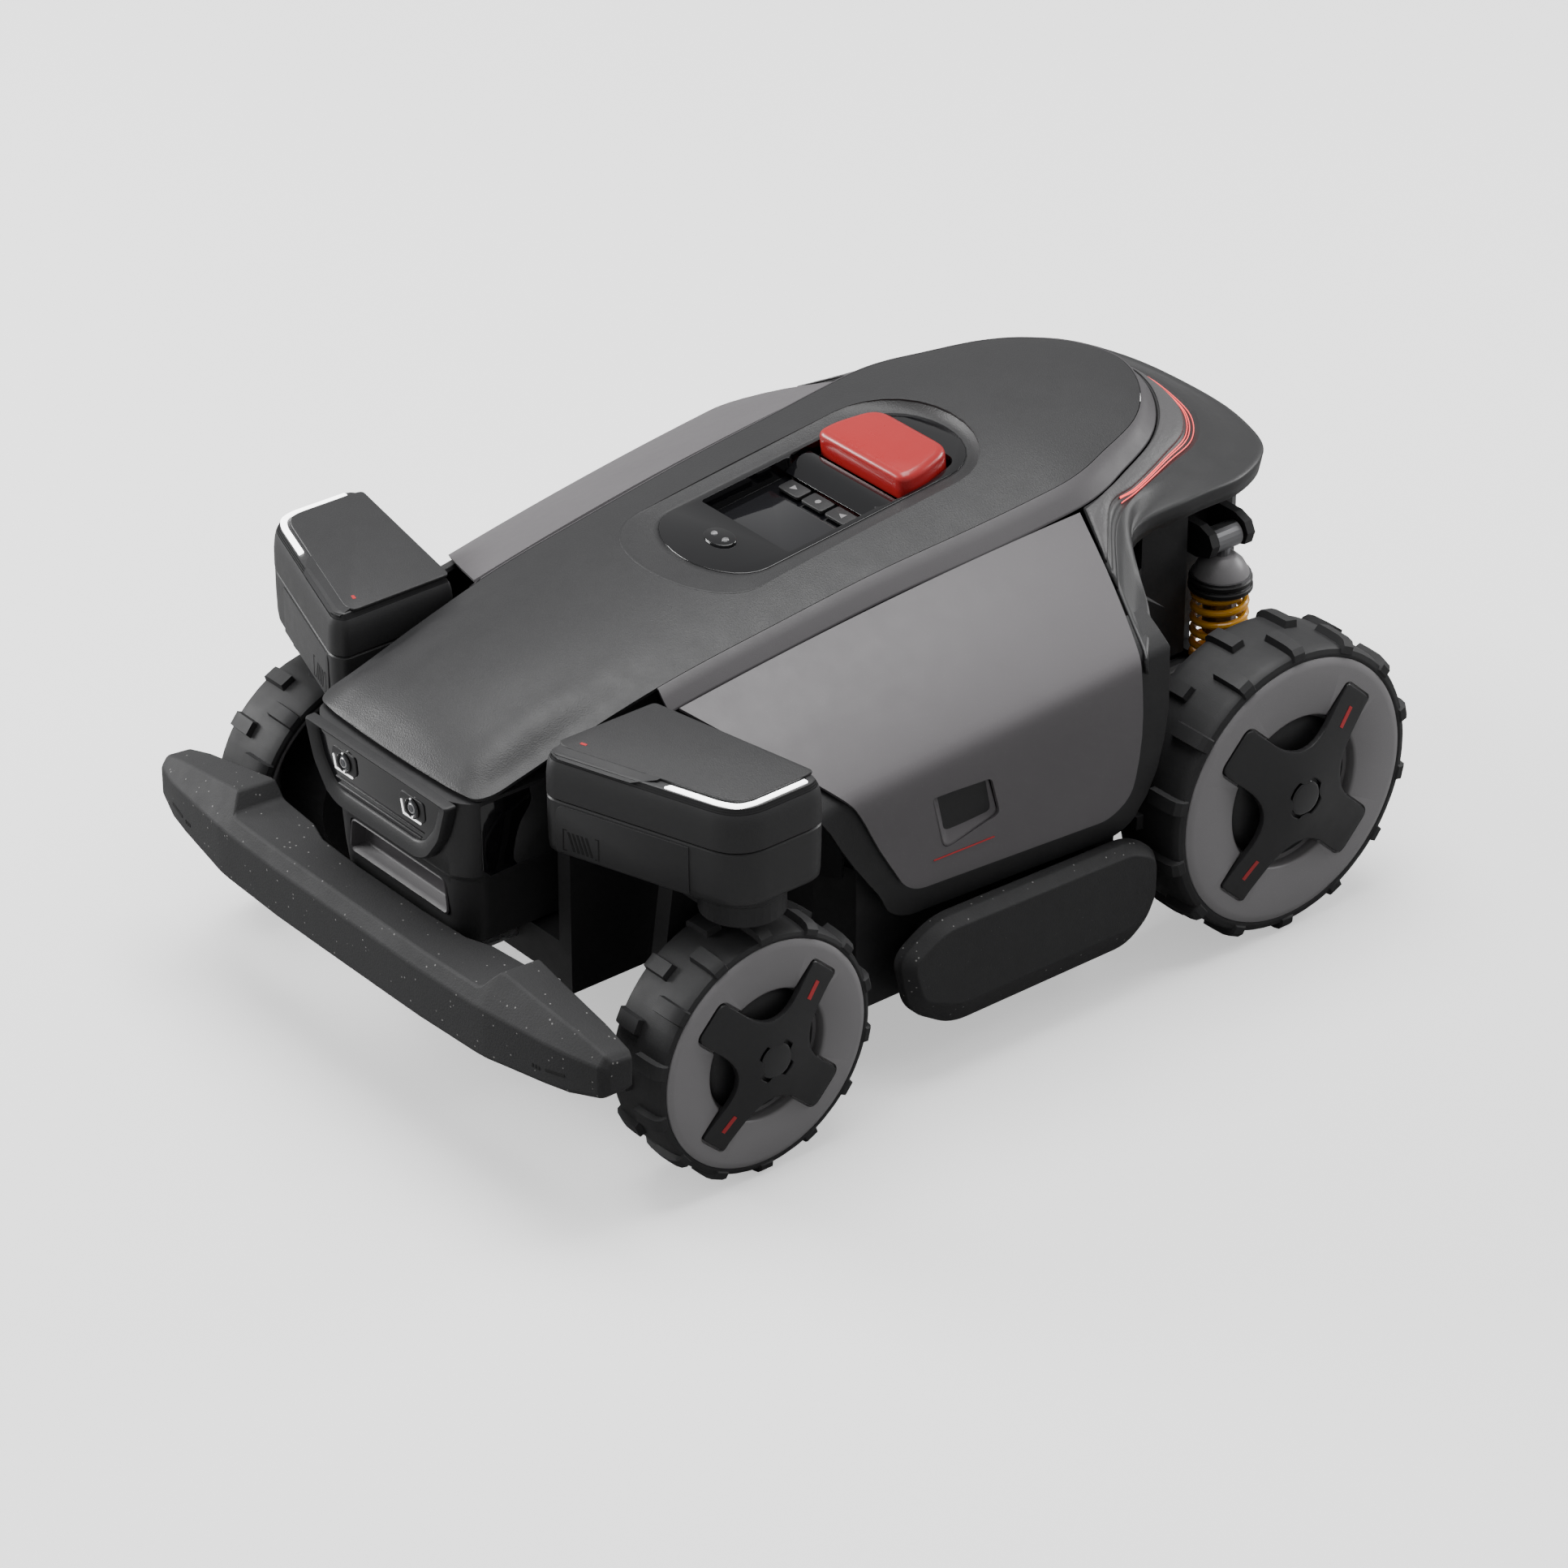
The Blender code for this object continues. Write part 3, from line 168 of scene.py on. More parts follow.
def metal(name, colour, roughness):
    """Turned or brushed metal, its fine marks running round or along the piece."""
    made, nodes, links, shader = new_material(name)
    mapping = nodes.new("ShaderNodeMapping")
    mapping.inputs["Scale"].default_value = (1.0, 1.0, 12.0)
    links.new(object_coordinates(nodes), mapping.inputs["Vector"])
    marks = noise(nodes, links, mapping.outputs["Vector"], 220.0, 4.0, 0.6)
    tone = mix_colours(nodes, links, marks, tuple(c * 0.88 for c in colour), colour)
    links.new(tone, shader.inputs["Base Color"])
    links.new(
        remap(nodes, links, marks, 0.3, 0.7, roughness - 0.06, roughness + 0.08),
        shader.inputs["Roughness"],
    )
    shader.inputs["Metallic"].default_value = 1.0
    bump(nodes, links, shader, marks, 0.00004)
    return made


# Colour, roughness, scale and depth of the grain, and what else moulded() takes
MOULDED = {
    "cover_plastic": ((0.021, 0.021, 0.022), 0.50, 1100.0, 0.00016, {"leather": True}),
    "inlay_plastic": ((0.085, 0.083, 0.085), 0.50, 650.0, 0.00022, {"leather": True}),
    "band_plastic": ((0.070, 0.066, 0.070), 0.50, 1500.0, 0.00008, {}),
    "panel_plastic": (
        (0.125, 0.118, 0.124), 0.46, 1800.0, 0.00005, {"specks": (1500.0, 0.10, (0.190, 0.182, 0.190))}
    ),
    "frame_plastic": ((0.015, 0.015, 0.016), 0.50, 900.0, 0.00010, {}),
    "tail_plastic": ((0.027, 0.027, 0.028), 0.44, 1400.0, 0.00008, {}),
    "gloss_black": ((0.004, 0.004, 0.005), 0.10, 300.0, 0.00001, {"coat": 0.6}),
    "screen_glass": ((0.012, 0.012, 0.014), 0.08, 300.0, 0.00001, {"coat": 1.0}),
    "stop_red": ((0.420, 0.018, 0.020), 0.30, 1600.0, 0.00004, {"coat": 0.2}),
    "mark_red": ((0.480, 0.030, 0.035), 0.35, 1200.0, 0.00004, {}),
    "tyre_rubber": ((0.017, 0.017, 0.018), 0.62, 1500.0, 0.00010, {}),
    "ring_grey": (
        (0.235, 0.228, 0.235), 0.38, 1700.0, 0.00005, {"specks": (1500.0, 0.10, (0.340, 0.330, 0.340))},
    ),
    "star_plastic": ((0.018, 0.018, 0.019), 0.42, 1200.0, 0.00008, {}),
    "foam_guard": (
        (0.022, 0.022, 0.023), 0.72, 700.0, 0.00022, {"specks": (330.0, 0.10, (0.230, 0.225, 0.220))},
    ),
    # gap_black is painted shade: flat black laid where vents, grooves and slots are open, standing for the
    # dark inside them
    "gap_black": ((0.004, 0.004, 0.004), 0.80, 600.0, 0.00005, {}),
    "spring_yellow": ((0.950, 0.420, 0.010), 0.32, 900.0, 0.00004, {"coat": 0.3}),
    "battery_case": ((0.050, 0.055, 0.060), 0.55, 900.0, 0.00008, {}),
    "lens_glass": ((0.020, 0.022, 0.030), 0.05, 300.0, 0.00001, {"coat": 1.0}),
}
GLOWING = {
    "lamp_white": ((1.0, 1.0, 1.0), 5.0), "eye_white": ((1.0, 1.0, 1.0), 1.2),
    "lamp_red": ((0.95, 0.10, 0.10), 1.2),
}
METALS = {"steel": ((0.560, 0.560, 0.570), 0.30), "alloy": ((0.300, 0.300, 0.310), 0.36)}
FINISHES = {name: moulded(name, *values, **more) for name, (*values, more) in MOULDED.items()}
FINISHES |= {name: glowing(name, *values) for name, values in GLOWING.items()}
FINISHES |= {name: metal(name, *values) for name, values in METALS.items()}


# ---------------------------------------------------------------- geometry helpers


def add(name, bm, finish, body="body", replaces=(), smooth=35):
    """A piece from a bmesh, which it uses up, riding on a body."""
    bmesh.ops.recalc_face_normals(bm, faces=bm.faces[:])
    mesh = bpy.data.meshes.new(name)
    bm.to_mesh(mesh)
    bm.free()
    obj = bpy.data.objects.new(name, mesh)
    bpy.context.scene.collection.objects.link(obj)
    mesh.materials.append(FINISHES[finish])
    mesh.shade_smooth()
    mesh.set_sharp_from_angle(angle=math.radians(smooth))
    if body is None:
        obj.hide_render = True
        obj.hide_viewport = True
        return obj
    settle(obj, body, replaces)
    return obj


def settle(obj, body, replaces=()):
    """Lets a finished piece ride on a body and the CAD nodes it stands for."""
    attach(obj, body)
    if replaces:
        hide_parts(*([replaces] if isinstance(replaces, str) else replaces))


def place(obj, matrix):
    """Puts a piece modelled at the origin where it belongs, in its mesh."""
    obj.data.transform(matrix)
    return obj


def bevel(obj, width, segments=3, angle=35):
    """Rounds the edges that are sharper than an angle in degrees."""
    modifier = obj.modifiers.new("Bevel", "BEVEL")
    modifier.width = width
    modifier.segments = segments
    modifier.limit_method = "ANGLE"
    modifier.angle_limit = math.radians(angle)
    modifier.harden_normals = True
    return obj


def cut(obj, cutter):
    """Cuts another shape out of a piece, and drops the shape."""
    modifier = obj.modifiers.new("Cut", "BOOLEAN")
    modifier.operation = "DIFFERENCE"
    modifier.solver = "EXACT"
    modifier.object = cutter
    cutter.hide_viewport = False
    bpy.context.view_layer.update()
    graph = bpy.context.evaluated_depsgraph_get()
    mesh = bpy.data.meshes.new_from_object(obj.evaluated_get(graph))
    obj.modifiers.clear()
    obj.data = mesh
    mesh.shade_smooth()
    mesh.set_sharp_from_angle(angle=math.radians(35))
    bpy.data.objects.remove(cutter)


def thicken(obj, thickness, offset):
    """Thickens a sheet to one side of it."""
    modifier = obj.modifiers.new("Solidify", "SOLIDIFY")
    modifier.thickness = thickness
    modifier.offset = offset
    return modifier


def grid_mesh(rows, closed=False, wrap=False):
    """A bmesh of quads over rows of points. closed joins each row's ends, wrap the last row to the first."""
    bm = bmesh.new()
    grid = [[bm.verts.new(point) for point in row] for row in rows]
    following = grid[1:] + (grid[:1] if wrap else [])
    for row, after in zip(grid, following):
        count = len(row)
        for i in range(count if closed else count - 1):
            j = (i + 1) % count
            bm.faces.new((row[i], row[j], after[j], after[i]))
    return bm, grid


def loft(name, sections, finish, body="body", replaces=(), smooth=35):
    """A closed solid through rings of equally many points."""
    bm, grid = grid_mesh(sections, closed=True)
    bm.faces.new(grid[0])
    bm.faces.new(grid[-1])
    return add(name, bm, finish, body, replaces, smooth)


def shell(name, rows, thickness, finish, body="body", replaces=(), edge=0.0007):
    """A moulded cover: an open grid thickened away from its outer side, with rolled edges."""
    bm, _ = grid_mesh(rows)
    mesh = bpy.data.meshes.new(name)
    bm.to_mesh(mesh)
    bm.free()
    obj = bpy.data.objects.new(name, mesh)
    bpy.context.scene.collection.objects.link(obj)
    mesh.materials.append(FINISHES[finish])
    mesh.shade_smooth()
    thicken(obj, thickness, -1.0).use_even_offset = True
    if edge:
        bevel(obj, edge, 2, 60)
    settle(obj, body, replaces)
    return obj


def rounded(corners, radius, steps=6, most=0.48):
    """A polygon with its corners rounded. radius is one number or one for each corner."""
    count = len(corners)
    radii = [radius] * count if isinstance(radius, (int, float)) else radius
    points = []
    for i, corner in enumerate(corners):
        here = Vector(corner)
        before = Vector(corners[i - 1]) - here
        after = Vector(corners[(i + 1) % count]) - here
        reach = min(radii[i], before.length * most, after.length * most)
        if reach <= 0:
            points.append(tuple(here))
            continue
        start, end = here + before.normalized() * reach, here + after.normalized() * reach
        for step in range(steps + 1):
            t = step / steps
            point = start * (1 - t) ** 2 + here * 2 * t * (1 - t) + end * t * t
            points.append(tuple(point))
    return points


def rectangle(low, high):
    """The corners of an upright rectangle."""
    return [low, (high[0], low[1]), high, (low[0], high[1])]


def both_halves(half, radii):
    """A symmetrical outline with rounded corners, from its left half and that half's radii."""
    return rounded(half + [(-x, y) for x, y in reversed(half)], radii + radii[::-1])


def offset_outline(points, distance):
    """A closed outline moved outwards by a distance, with mitred corners."""
    count = len(points)
    area = sum(points[i - 1][0] * points[i][1] - points[i][0] * points[i - 1][1] for i in range(count))
    turn = 1 if area > 0 else -1
    moved = []
    for i, point in enumerate(points):
        before = (Vector(point) - Vector(points[i - 1])).normalized()
        after = (Vector(points[(i + 1) % count]) - Vector(point)).normalized()
        first = Vector((before.y, -before.x)) * turn
        second = Vector((after.y, -after.x)) * turn
        mitre = (first + second) / max(0.2, 1 + first.dot(second))
        moved.append((point[0] + mitre.x * distance, point[1] + mitre.y * distance))
    return moved


def inset_rings(outline, levels):
    """A ring of points for each (inset, height), from an outline in plan."""
    return [[(x, y, z) for x, y in offset_outline(outline, -inset)] for inset, z in levels]


PLANES = {
    "XY": lambda a, b, h: (a, b, h),
    "YZ": lambda a, b, h: (h, a, b),
    "XZ": lambda a, b, h: (a, h, b),
}


def prism(name, outline, start, end, finish, plane="XY", body="body", replaces=(), edge=0.0, segments=3):
    """A flat outline swept between two heights, with its rims rounded."""
    at = PLANES[plane]
    bm = bmesh.new()
    face = bm.faces.new([bm.verts.new(at(a, b, start)) for a, b in outline])
    swept = bmesh.ops.extrude_face_region(bm, geom=[face])
    shift = Vector(at(0, 0, end)) - Vector(at(0, 0, start))
    bmesh.ops.translate(bm, vec=shift, verts=[v for v in swept["geom"] if isinstance(v, bmesh.types.BMVert)])
    if edge:
        rims = [e for e in bm.edges if len(e.link_faces) == 2 and e.calc_face_angle() > 1.2]
        bmesh.ops.bevel(bm, geom=rims, offset=edge, segments=segments, profile=0.5, affect="EDGES")
    return add(name, bm, finish, body, replaces)


def box(name, low, high, finish, edge=0.0008):
    """A block between two corners, with all its edges rounded."""
    bm = bmesh.new()
    face = bm.faces.new([bm.verts.new((x, y, low[2])) for x, y in rectangle(low[:2], high[:2])])
    swept = bmesh.ops.extrude_face_region(bm, geom=[face])
    raised = [v for v in swept["geom"] if isinstance(v, bmesh.types.BMVert)]
    bmesh.ops.translate(bm, vec=(0, 0, high[2] - low[2]), verts=raised)
    bmesh.ops.bevel(bm, geom=bm.edges[:], offset=edge, segments=2, profile=0.5, affect="EDGES")
    return add(name, bm, finish)


def turned(name, profile, matrix, finish, body="body", replaces=(), steps=96, smooth=35):
    """A profile of (radius, height) turned about Z, then placed. Ends on the axis are closed."""
    bm = bmesh.new()
    rings = []
    for radius, height in profile:
        if radius < 1e-6:
            rings.append([bm.verts.new((0, 0, height))])
            continue
        ring = []
        for i in range(steps):
            angle = 2 * math.pi * i / steps
            ring.append(bm.verts.new((radius * math.cos(angle), radius * math.sin(angle), height)))
        rings.append(ring)
    pairs = list(zip(rings, rings[1:]))
    if len(rings[0]) > 1 and len(rings[-1]) > 1:
        pairs.append((rings[-1], rings[0]))
    for first, second in pairs:
        for i in range(steps):
            j = (i + 1) % steps
            corners = [
                first[i % len(first)], first[j % len(first)], second[j % len(second)],
                second[i % len(second)],
            ]
            corners = list(dict.fromkeys(corners))
            if len(corners) > 2:
                bm.faces.new(corners)
    bmesh.ops.transform(bm, matrix=matrix, verts=bm.verts)
    return add(name, bm, finish, body, replaces, smooth)


def along(axis, centre=(0, 0, 0)):
    """The matrix that lays +Z along an axis, at a centre."""
    turn = Vector((0, 0, 1)).rotation_difference(Vector(axis)).to_matrix().to_4x4()
    return Matrix.Translation(centre) @ turn


def spline(points, steps):
    """A smooth open line through points of any dimension, as Vectors."""
    given = [Vector(p) for p in points]
    ends = [given[0] * 2 - given[1], *given, given[-1] * 2 - given[-2]]
    line = []
    for i in range(1, len(ends) - 2):
        a, b, c, d = ends[i - 1 : i + 3]
        t1 = max((b - a).length, 1e-6) ** 0.5
        t2 = t1 + max((c - b).length, 1e-6) ** 0.5
        t3 = t2 + max((d - c).length, 1e-6) ** 0.5
        for step in range(steps):
            t = t1 + (t2 - t1) * step / steps
            ab = a * (t1 - t) / t1 + b * t / t1
            bc = b * (t2 - t) / (t2 - t1) + c * (t - t1) / (t2 - t1)
            cd = c * (t3 - t) / (t3 - t2) + d * (t - t2) / (t3 - t2)
            abc = ab * (t2 - t) / t2 + bc * t / t2
            bcd = bc * (t3 - t) / (t3 - t1) + cd * (t - t1) / (t3 - t1)
            line.append(abc * (t2 - t) / (t2 - t1) + bcd * (t - t1) / (t2 - t1))
    line.append(given[-1])
    return line


def smooth_at(stations, at):
    """A value smoothly interpolated through (place, value) pairs."""
    places = [p for p, _ in stations]
    values = [v for _, v in stations]
    if at <= places[0]:
        return values[0]
    if at >= places[-1]:
        return values[-1]
    i = max(k for k, p in enumerate(places) if p <= at)

    def slope(k):
        if k in (0, len(places) - 1):
            near = 1 if k == 0 else k
            return (values[near] - values[near - 1]) / (places[near] - places[near - 1])
        return (values[k + 1] - values[k - 1]) / (places[k + 1] - places[k - 1])

    width = places[i + 1] - places[i]
    t = (at - places[i]) / width
    return (
        (2 * t**3 - 3 * t**2 + 1) * values[i]
        + (t**3 - 2 * t**2 + t) * width * slope(i)
        + (-2 * t**3 + 3 * t**2) * values[i + 1]
        + (t**3 - t**2) * width * slope(i + 1)
    )


def directions(line):
    """The unit direction along an open line, at each of its points."""
    last = len(line) - 1
    ends = [(line[max(i - 1, 0)], line[min(i + 1, last)]) for i in range(len(line))]
    return [(Vector(ahead) - Vector(behind)).normalized() for behind, ahead in ends]


# Half-round section of a ribbon, in shares of its width and height
HALF_ROUND = (
    (-0.5, 0.0), (-0.42, 0.75), (-0.2, 1.0), (0.2, 1.0), (0.42, 0.75), (0.5, 0.0), (0.3, -0.6), (-0.3, -0.6)
)


def ribbon(name, line, width, height, finish, body="body", replaces=(), normals=None):
    """A strip of half-round section along an open 3-D line, lying on its surface."""
    sections = []
    for i, (point, forward) in enumerate(zip(line, directions(line))):
        up = Vector(normals[i]) if normals else Vector((0, 0, 1))
        across = forward.cross(up).normalized()
        up = across.cross(forward).normalized()
        section = []
        for a, h in HALF_ROUND:
            section.append(Vector(point) + across * a * width + up * h * height)
        sections.append(section)
    return loft(name, sections, finish, body, replaces)


def tube(name, line, radius, finish, body, sides):
    """A round wire or rod along an open line that is nowhere upright."""
    sections = []
    for point, forward in zip(line, directions(line)):
        across = forward.cross(Vector((0, 0, 1))).normalized()
        up = across.cross(forward)
        section = []
        for k in range(sides):
            angle = 2 * math.pi * k / sides
            section.append(Vector(point) + across * math.cos(angle) * radius + up * math.sin(angle) * radius)
        sections.append(section)
    return loft(name, sections, finish, body)


# ---------------------------------------------------------------- upper cover, band and console

# Left half of the cover's outline in plan, from the middle of the nose round to the middle of the tail
COVER_OUTLINE = (
    (0.0000, -0.3498), (0.0400, -0.3488), (0.0720, -0.3466), (0.0840, -0.3432), (0.0892, -0.3340),
    (0.0905, -0.3110),
    (0.0925, -0.2500), (0.0955, -0.1860), (0.0985, -0.1100), (0.1020, -0.0220), (0.1060, 0.0600),
    (0.1078, 0.1050),
    (0.1076, 0.1390), (0.1035, 0.1600), (0.0960, 0.1810), (0.0786, 0.2256), (0.0597, 0.2496),
    (0.0340, 0.2680),
    (0.0140, 0.2758), (0.0000, 0.2775),
)
EDGE_HEIGHTS = (
    (-0.3498, 0.2503), (-0.3440, 0.2505), (-0.3110, 0.2585), (-0.2500, 0.2755), (-0.1860, 0.2900),
    (-0.1100, 0.3015),
    (-0.0220, 0.3135), (0.0600, 0.3212), (0.1390, 0.3293), (0.1810, 0.3325), (0.2256, 0.3355),
    (0.2496, 0.3375),
    (0.2775, 0.3388),
)
CROWN_HEIGHTS = (
    (-0.3498, 0.2508), (-0.3440, 0.2560), (-0.3300, 0.2668), (-0.3110, 0.2765), (-0.2800, 0.2860),
    (-0.2500, 0.2925),
    (-0.1860, 0.3030), (-0.1100, 0.3138), (-0.0220, 0.3250), (0.0600, 0.3345), (0.1390, 0.3425),
    (0.1810, 0.3440),
    (0.2256, 0.3438), (0.2496, 0.3425), (0.2775, 0.3390),
)
BAND_WIDTHS = ((-0.21, 0.0155), (-0.10, 0.0160), (0.14, 0.0176), (0.25, 0.0125), (0.28, 0.0120))
BAND_START_Y = -0.2050
STEPS = 8  # points of a smooth line between two of its stations


def closed_spline(points, first=True):
    """A smooth left-hand line, straight across the centre plane at its end, and at its start if first."""
    given = [Vector(p) for p in points]

    def across(p):
        return Vector((-p[0], *p[1:]))

    extended = ([across(given[1])] if first else []) + given + [across(given[-2])]
    line = spline(extended, STEPS)
    return line[STEPS if first else 0 : -STEPS]


COVER_LINE = [Vector((x, y, smooth_at(EDGE_HEIGHTS, y))) for x, y in closed_spline(COVER_OUTLINE)]


def half_width(y):
    """Half the cover's width at a station."""
    best = 0.0
    for a, b in zip(COVER_LINE, COVER_LINE[1:]):
        if min(a.y, b.y) <= y <= max(a.y, b.y) and abs(b.y - a.y) > 1e-9:
            best = max(best, a.x + (b.x - a.x) * (y - a.y) / (b.y - a.y))
    return best


def cover_height(x, y, half):
    """Height of the cover's skin: a crowned section, with a rounded shoulder each side of the nose."""
    edge, crown = smooth_at(EDGE_HEIGHTS, y), smooth_at(CROWN_HEIGHTS, y)
    share = min(1.0, abs(x) / max(half, 1e-4))
    height = crown + (edge - crown) * share**2.3
    fade = max(0.0, min(1.0, (-0.17 - y) / 0.12)) * max(0.0, min(1.0, (y + 0.348) / 0.02))
    shoulder = math.exp(-(((abs(x) - 0.066) / 0.013) ** 2))
    flank = math.exp(-(((abs(x) - 0.084) / 0.008) ** 2))
    return height + fade * (0.0024 * shoulder - 0.0016 * flank)


def build_cover():
    """The long crowned cover, with the opening for the console cut through it."""
    columns = 44
    rows = []
    for point in COVER_LINE[1:-1]:
        row = []
        for i in range(columns + 1):
            x = point.x * math.sin(math.pi / 2 * (2 * i / columns - 1))
            row.append((x, point.y, cover_height(x, point.y, point.x)))
        rows.append(row)
    cover = shell("upper_cover", rows, 0.0030, "cover_plastic", replaces="top_cover", edge=0)
    opening = prism("dish_cutter", dish_outline(0.0), -0.05, 0.05, "cover_plastic", body=None)
    place(opening, console_matrix())
    cut(cover, opening)
    bevel(cover, 0.0009, 2, 50)


def console_matrix():
    """The console's own plane: its centre on the cover, and its pitch."""
    return Matrix.Translation(CONSOLE_CENTRE) @ Matrix.Rotation(CONSOLE_PITCH, 4, "X")


def stadium(half_x, low_y, high_y, low_r, high_r, steps=14):
    """An outline with straight sides and elliptical ends, anticlockwise from +X."""
    points = []
    for i in range(steps + 1):
        angle = math.pi * i / steps
        points.append((half_x * math.cos(angle), high_y - high_r + high_r * math.sin(angle)))
    for i in range(steps + 1):
        angle = math.pi + math.pi * i / steps
        points.append((half_x * math.cos(angle), low_y + low_r + low_r * math.sin(angle)))
    return points


def dish_outline(inset):
    """Edge of the dish round the console, moved inwards."""
    return stadium(0.0660 - inset, -0.1420 + inset, 0.1250 - inset, 0.0440, 0.0500)


def in_console(obj):
    """Moves a piece modelled in the console's plane to its place."""
    return place(obj, console_matrix())


def build_console():
    """The dished surround, the gloss bezel with its screen and key bay, the keys and the stop button."""
    to_world = console_matrix()
    outer, inner = dish_outline(-0.0004), stadium(0.0516, -0.1120, 0.1175, 0.0320, 0.0400)
    rings = []
    for share in (0.0, 0.06, 0.14, 0.26, 0.42, 0.62, 0.82, 1.0):
        ring = []
        for (ox, oy), (ix, iy) in zip(outer, inner):
            local = Vector((ox + (ix - ox) * share, oy + (iy - oy) * share, 0))
            world = to_world @ local
            rim = to_world @ Vector((ox, oy, 0))
            rim_height = cover_height(rim.x, rim.y, half_width(rim.y))
            floor = (to_world @ Vector((ix, iy, 0.0))).z - 0.0004
            drop = math.sin(math.pi / 2 * share) ** 0.9
            ring.append(
                (world.x, world.y, rim_height * (1 - drop) + floor * drop + (0.0002 if share == 0 else 0))
            )
        rings.append(ring)
    bm, _ = grid_mesh(rings, closed=True)
    surround = add("console_surround", bm, "cover_plastic", smooth=60)
    thicken(surround, 0.0015, -1.0)

    outline = stadium(0.0520, -0.1125, 0.1180, 0.0320, 0.0400)
    bezel = in_console(
        prism("bezel_plate", outline, -0.0200, 0.0002, "gloss_black", replaces="console_bezel", edge=0.0006)
    )
    bay = rounded(rectangle((-0.0470, -0.0590), (0.0470, 0.0180)), 0.0030)
    pocket = rounded(
        [
            (-0.0488, 0.0160), (0.0488, 0.0160), (0.0488, 0.0620), (0.0405, 0.0945), (-0.0405, 0.0945),
            (-0.0488, 0.0620),
        ],
        0.0100,
    )
    for name, outline, depth in (("bay_cutter", bay, 0.0136), ("pocket_cutter", pocket, 0.0120)):
        cut(bezel, in_console(prism(name, outline, -depth, 0.02, "gloss_black", body=None)))
    bevel(bezel, 0.0005, 2, 50)
    # the curved gloss saddle between the keys and the stop button
    rows = []
    for i in range(13):
        y = 0.0135 + 0.0230 * i / 12
        z = -0.0110 + 0.0085 * math.sin(math.pi * min(1.0, (i + 1) / 13) * 0.62)
        rows.append([(x, y, z) for x in (-0.0466, -0.030, -0.015, 0.0, 0.015, 0.030, 0.0466)])
    saddle = shell("console_saddle", rows, 0.0020, "gloss_black", edge=0.0003)
    in_console(saddle)
    screen = rounded(rectangle((-0.0375, -0.0540), (0.0375, -0.0070)), 0.0020)
    in_console(
        prism(
            "display_glass", screen, -0.0136, -0.0112, "screen_glass", replaces="display_screen",
            edge=0.0004, segments=2,
        )
    )
    sensor = stadium(0.0135, -0.0890, -0.0710, 0.0085, 0.0085, 10)
    in_console(
        prism("rain_sensor_pad", sensor, -0.0060, 0.0018, "gloss_black", replaces="rain_sensor", edge=0.0006)
    )
    stud = ((0, 0.0), (0.0024, 0.0), (0.0022, 0.0006), (0, 0.0008))
    for letter, x in (("a", -0.0060), ("b", 0.0060)):
        at = Matrix.Translation((x, -0.0800, 0.0018))
        in_console(turned(f"rain_contact_{letter}", stud, at, "steel", steps=24))
    build_keys()
    build_stop_button()


def build_keys():
    """Three keys at the near edge of the bay, with a dot and two arrows on them."""
    for name, x in (("key_left", 0.0250), ("key_ok", 0.0), ("key_right", -0.0250)):
        outline = rounded(rectangle((x - 0.0110, -0.0020), (x + 0.0110, 0.0110)), 0.0022)
        in_console(
            prism(
                f"{name}_cap", outline, -0.0122, -0.0096, "star_plastic", body=name, replaces=name,
                edge=0.0006,
            )
        )
        if name == "key_ok":
            mark = stadium(0.0022, 0.0023, 0.0067, 0.0022, 0.0022, 10)
        else:
            reach = 0.0028 if x > 0 else -0.0028
            mark = [(x - reach, 0.0045), (x + reach, 0.0018), (x + reach, 0.0072)]
        in_console(prism(f"{name}_mark", mark, -0.0096, -0.0094, "ring_grey", body=name))


def build_stop_button():
    """The red button, straight at its foot and rounded over at its top."""
    outline = both_halves([(0.0465, 0.0420), (0.0470, 0.0600), (0.0385, 0.0920)], [0.0090, 0.0080, 0.0140])
    levels = (
        (0.0, -0.0070), (0.0, 0.0068), (0.0006, 0.0086), (0.0018, 0.0100), (0.0044, 0.0114),
        (0.0062, 0.0118),
    )
    sections = inset_rings(outline, levels)
    in_console(loft("stop_button_cap", sections, "stop_red", "stop_button", "stop_button", smooth=28))


def band_frames():
    """Points of the cover's edge from the band's front end to the tail, each with its outward direction."""
    line = [p for p in COVER_LINE if p.y > BAND_START_Y]
    frames = []
    for i, point in enumerate(line):
        ahead = line[i + 1] if i + 1 < len(line) else Vector((-line[i - 1].x, line[i - 1].y, line[i - 1].z))
        behind = line[i - 1] if i else line[i] * 2 - line[i + 1]
        forward = Vector((ahead.x - behind.x, ahead.y - behind.y, 0)).normalized()
        frames.append((point, Vector((forward.y, -forward.x, 0))))
    return frames


def both_sides(row):
    """A left-hand line followed by its right-hand mirror."""
    return list(row) + [Vector((-p.x, p.y, p.z)) for p in reversed(row) if p.x > 1e-5]


def build_band():
    """The sloping band round the cover's edge."""
    section = (
        (0.0003, -0.0010), (0.0006, 0.0), (0.0016, -0.0001), (0.50, -0.0060), (0.95, -0.0112),
        (0.985, -0.0118), (1.0, -0.0128),
    )
    rows = []
    for reach, drop in section:
        row = []
        for point, out in band_frames():
            width = smooth_at(BAND_WIDTHS, point.y) - 0.0012
            distance = reach if reach < 0.01 else reach * width
            q = point + out * distance + Vector((0, 0, drop))
            if point.x < 1e-5:
                q.x = 0.0
            row.append(q)
        rows.append(both_sides(row))
    shell("band_shell", rows[::-1], 0.0022, "band_plastic", replaces="shoulder_band", edge=0.0003)


# ---------------------------------------------------------------- sides

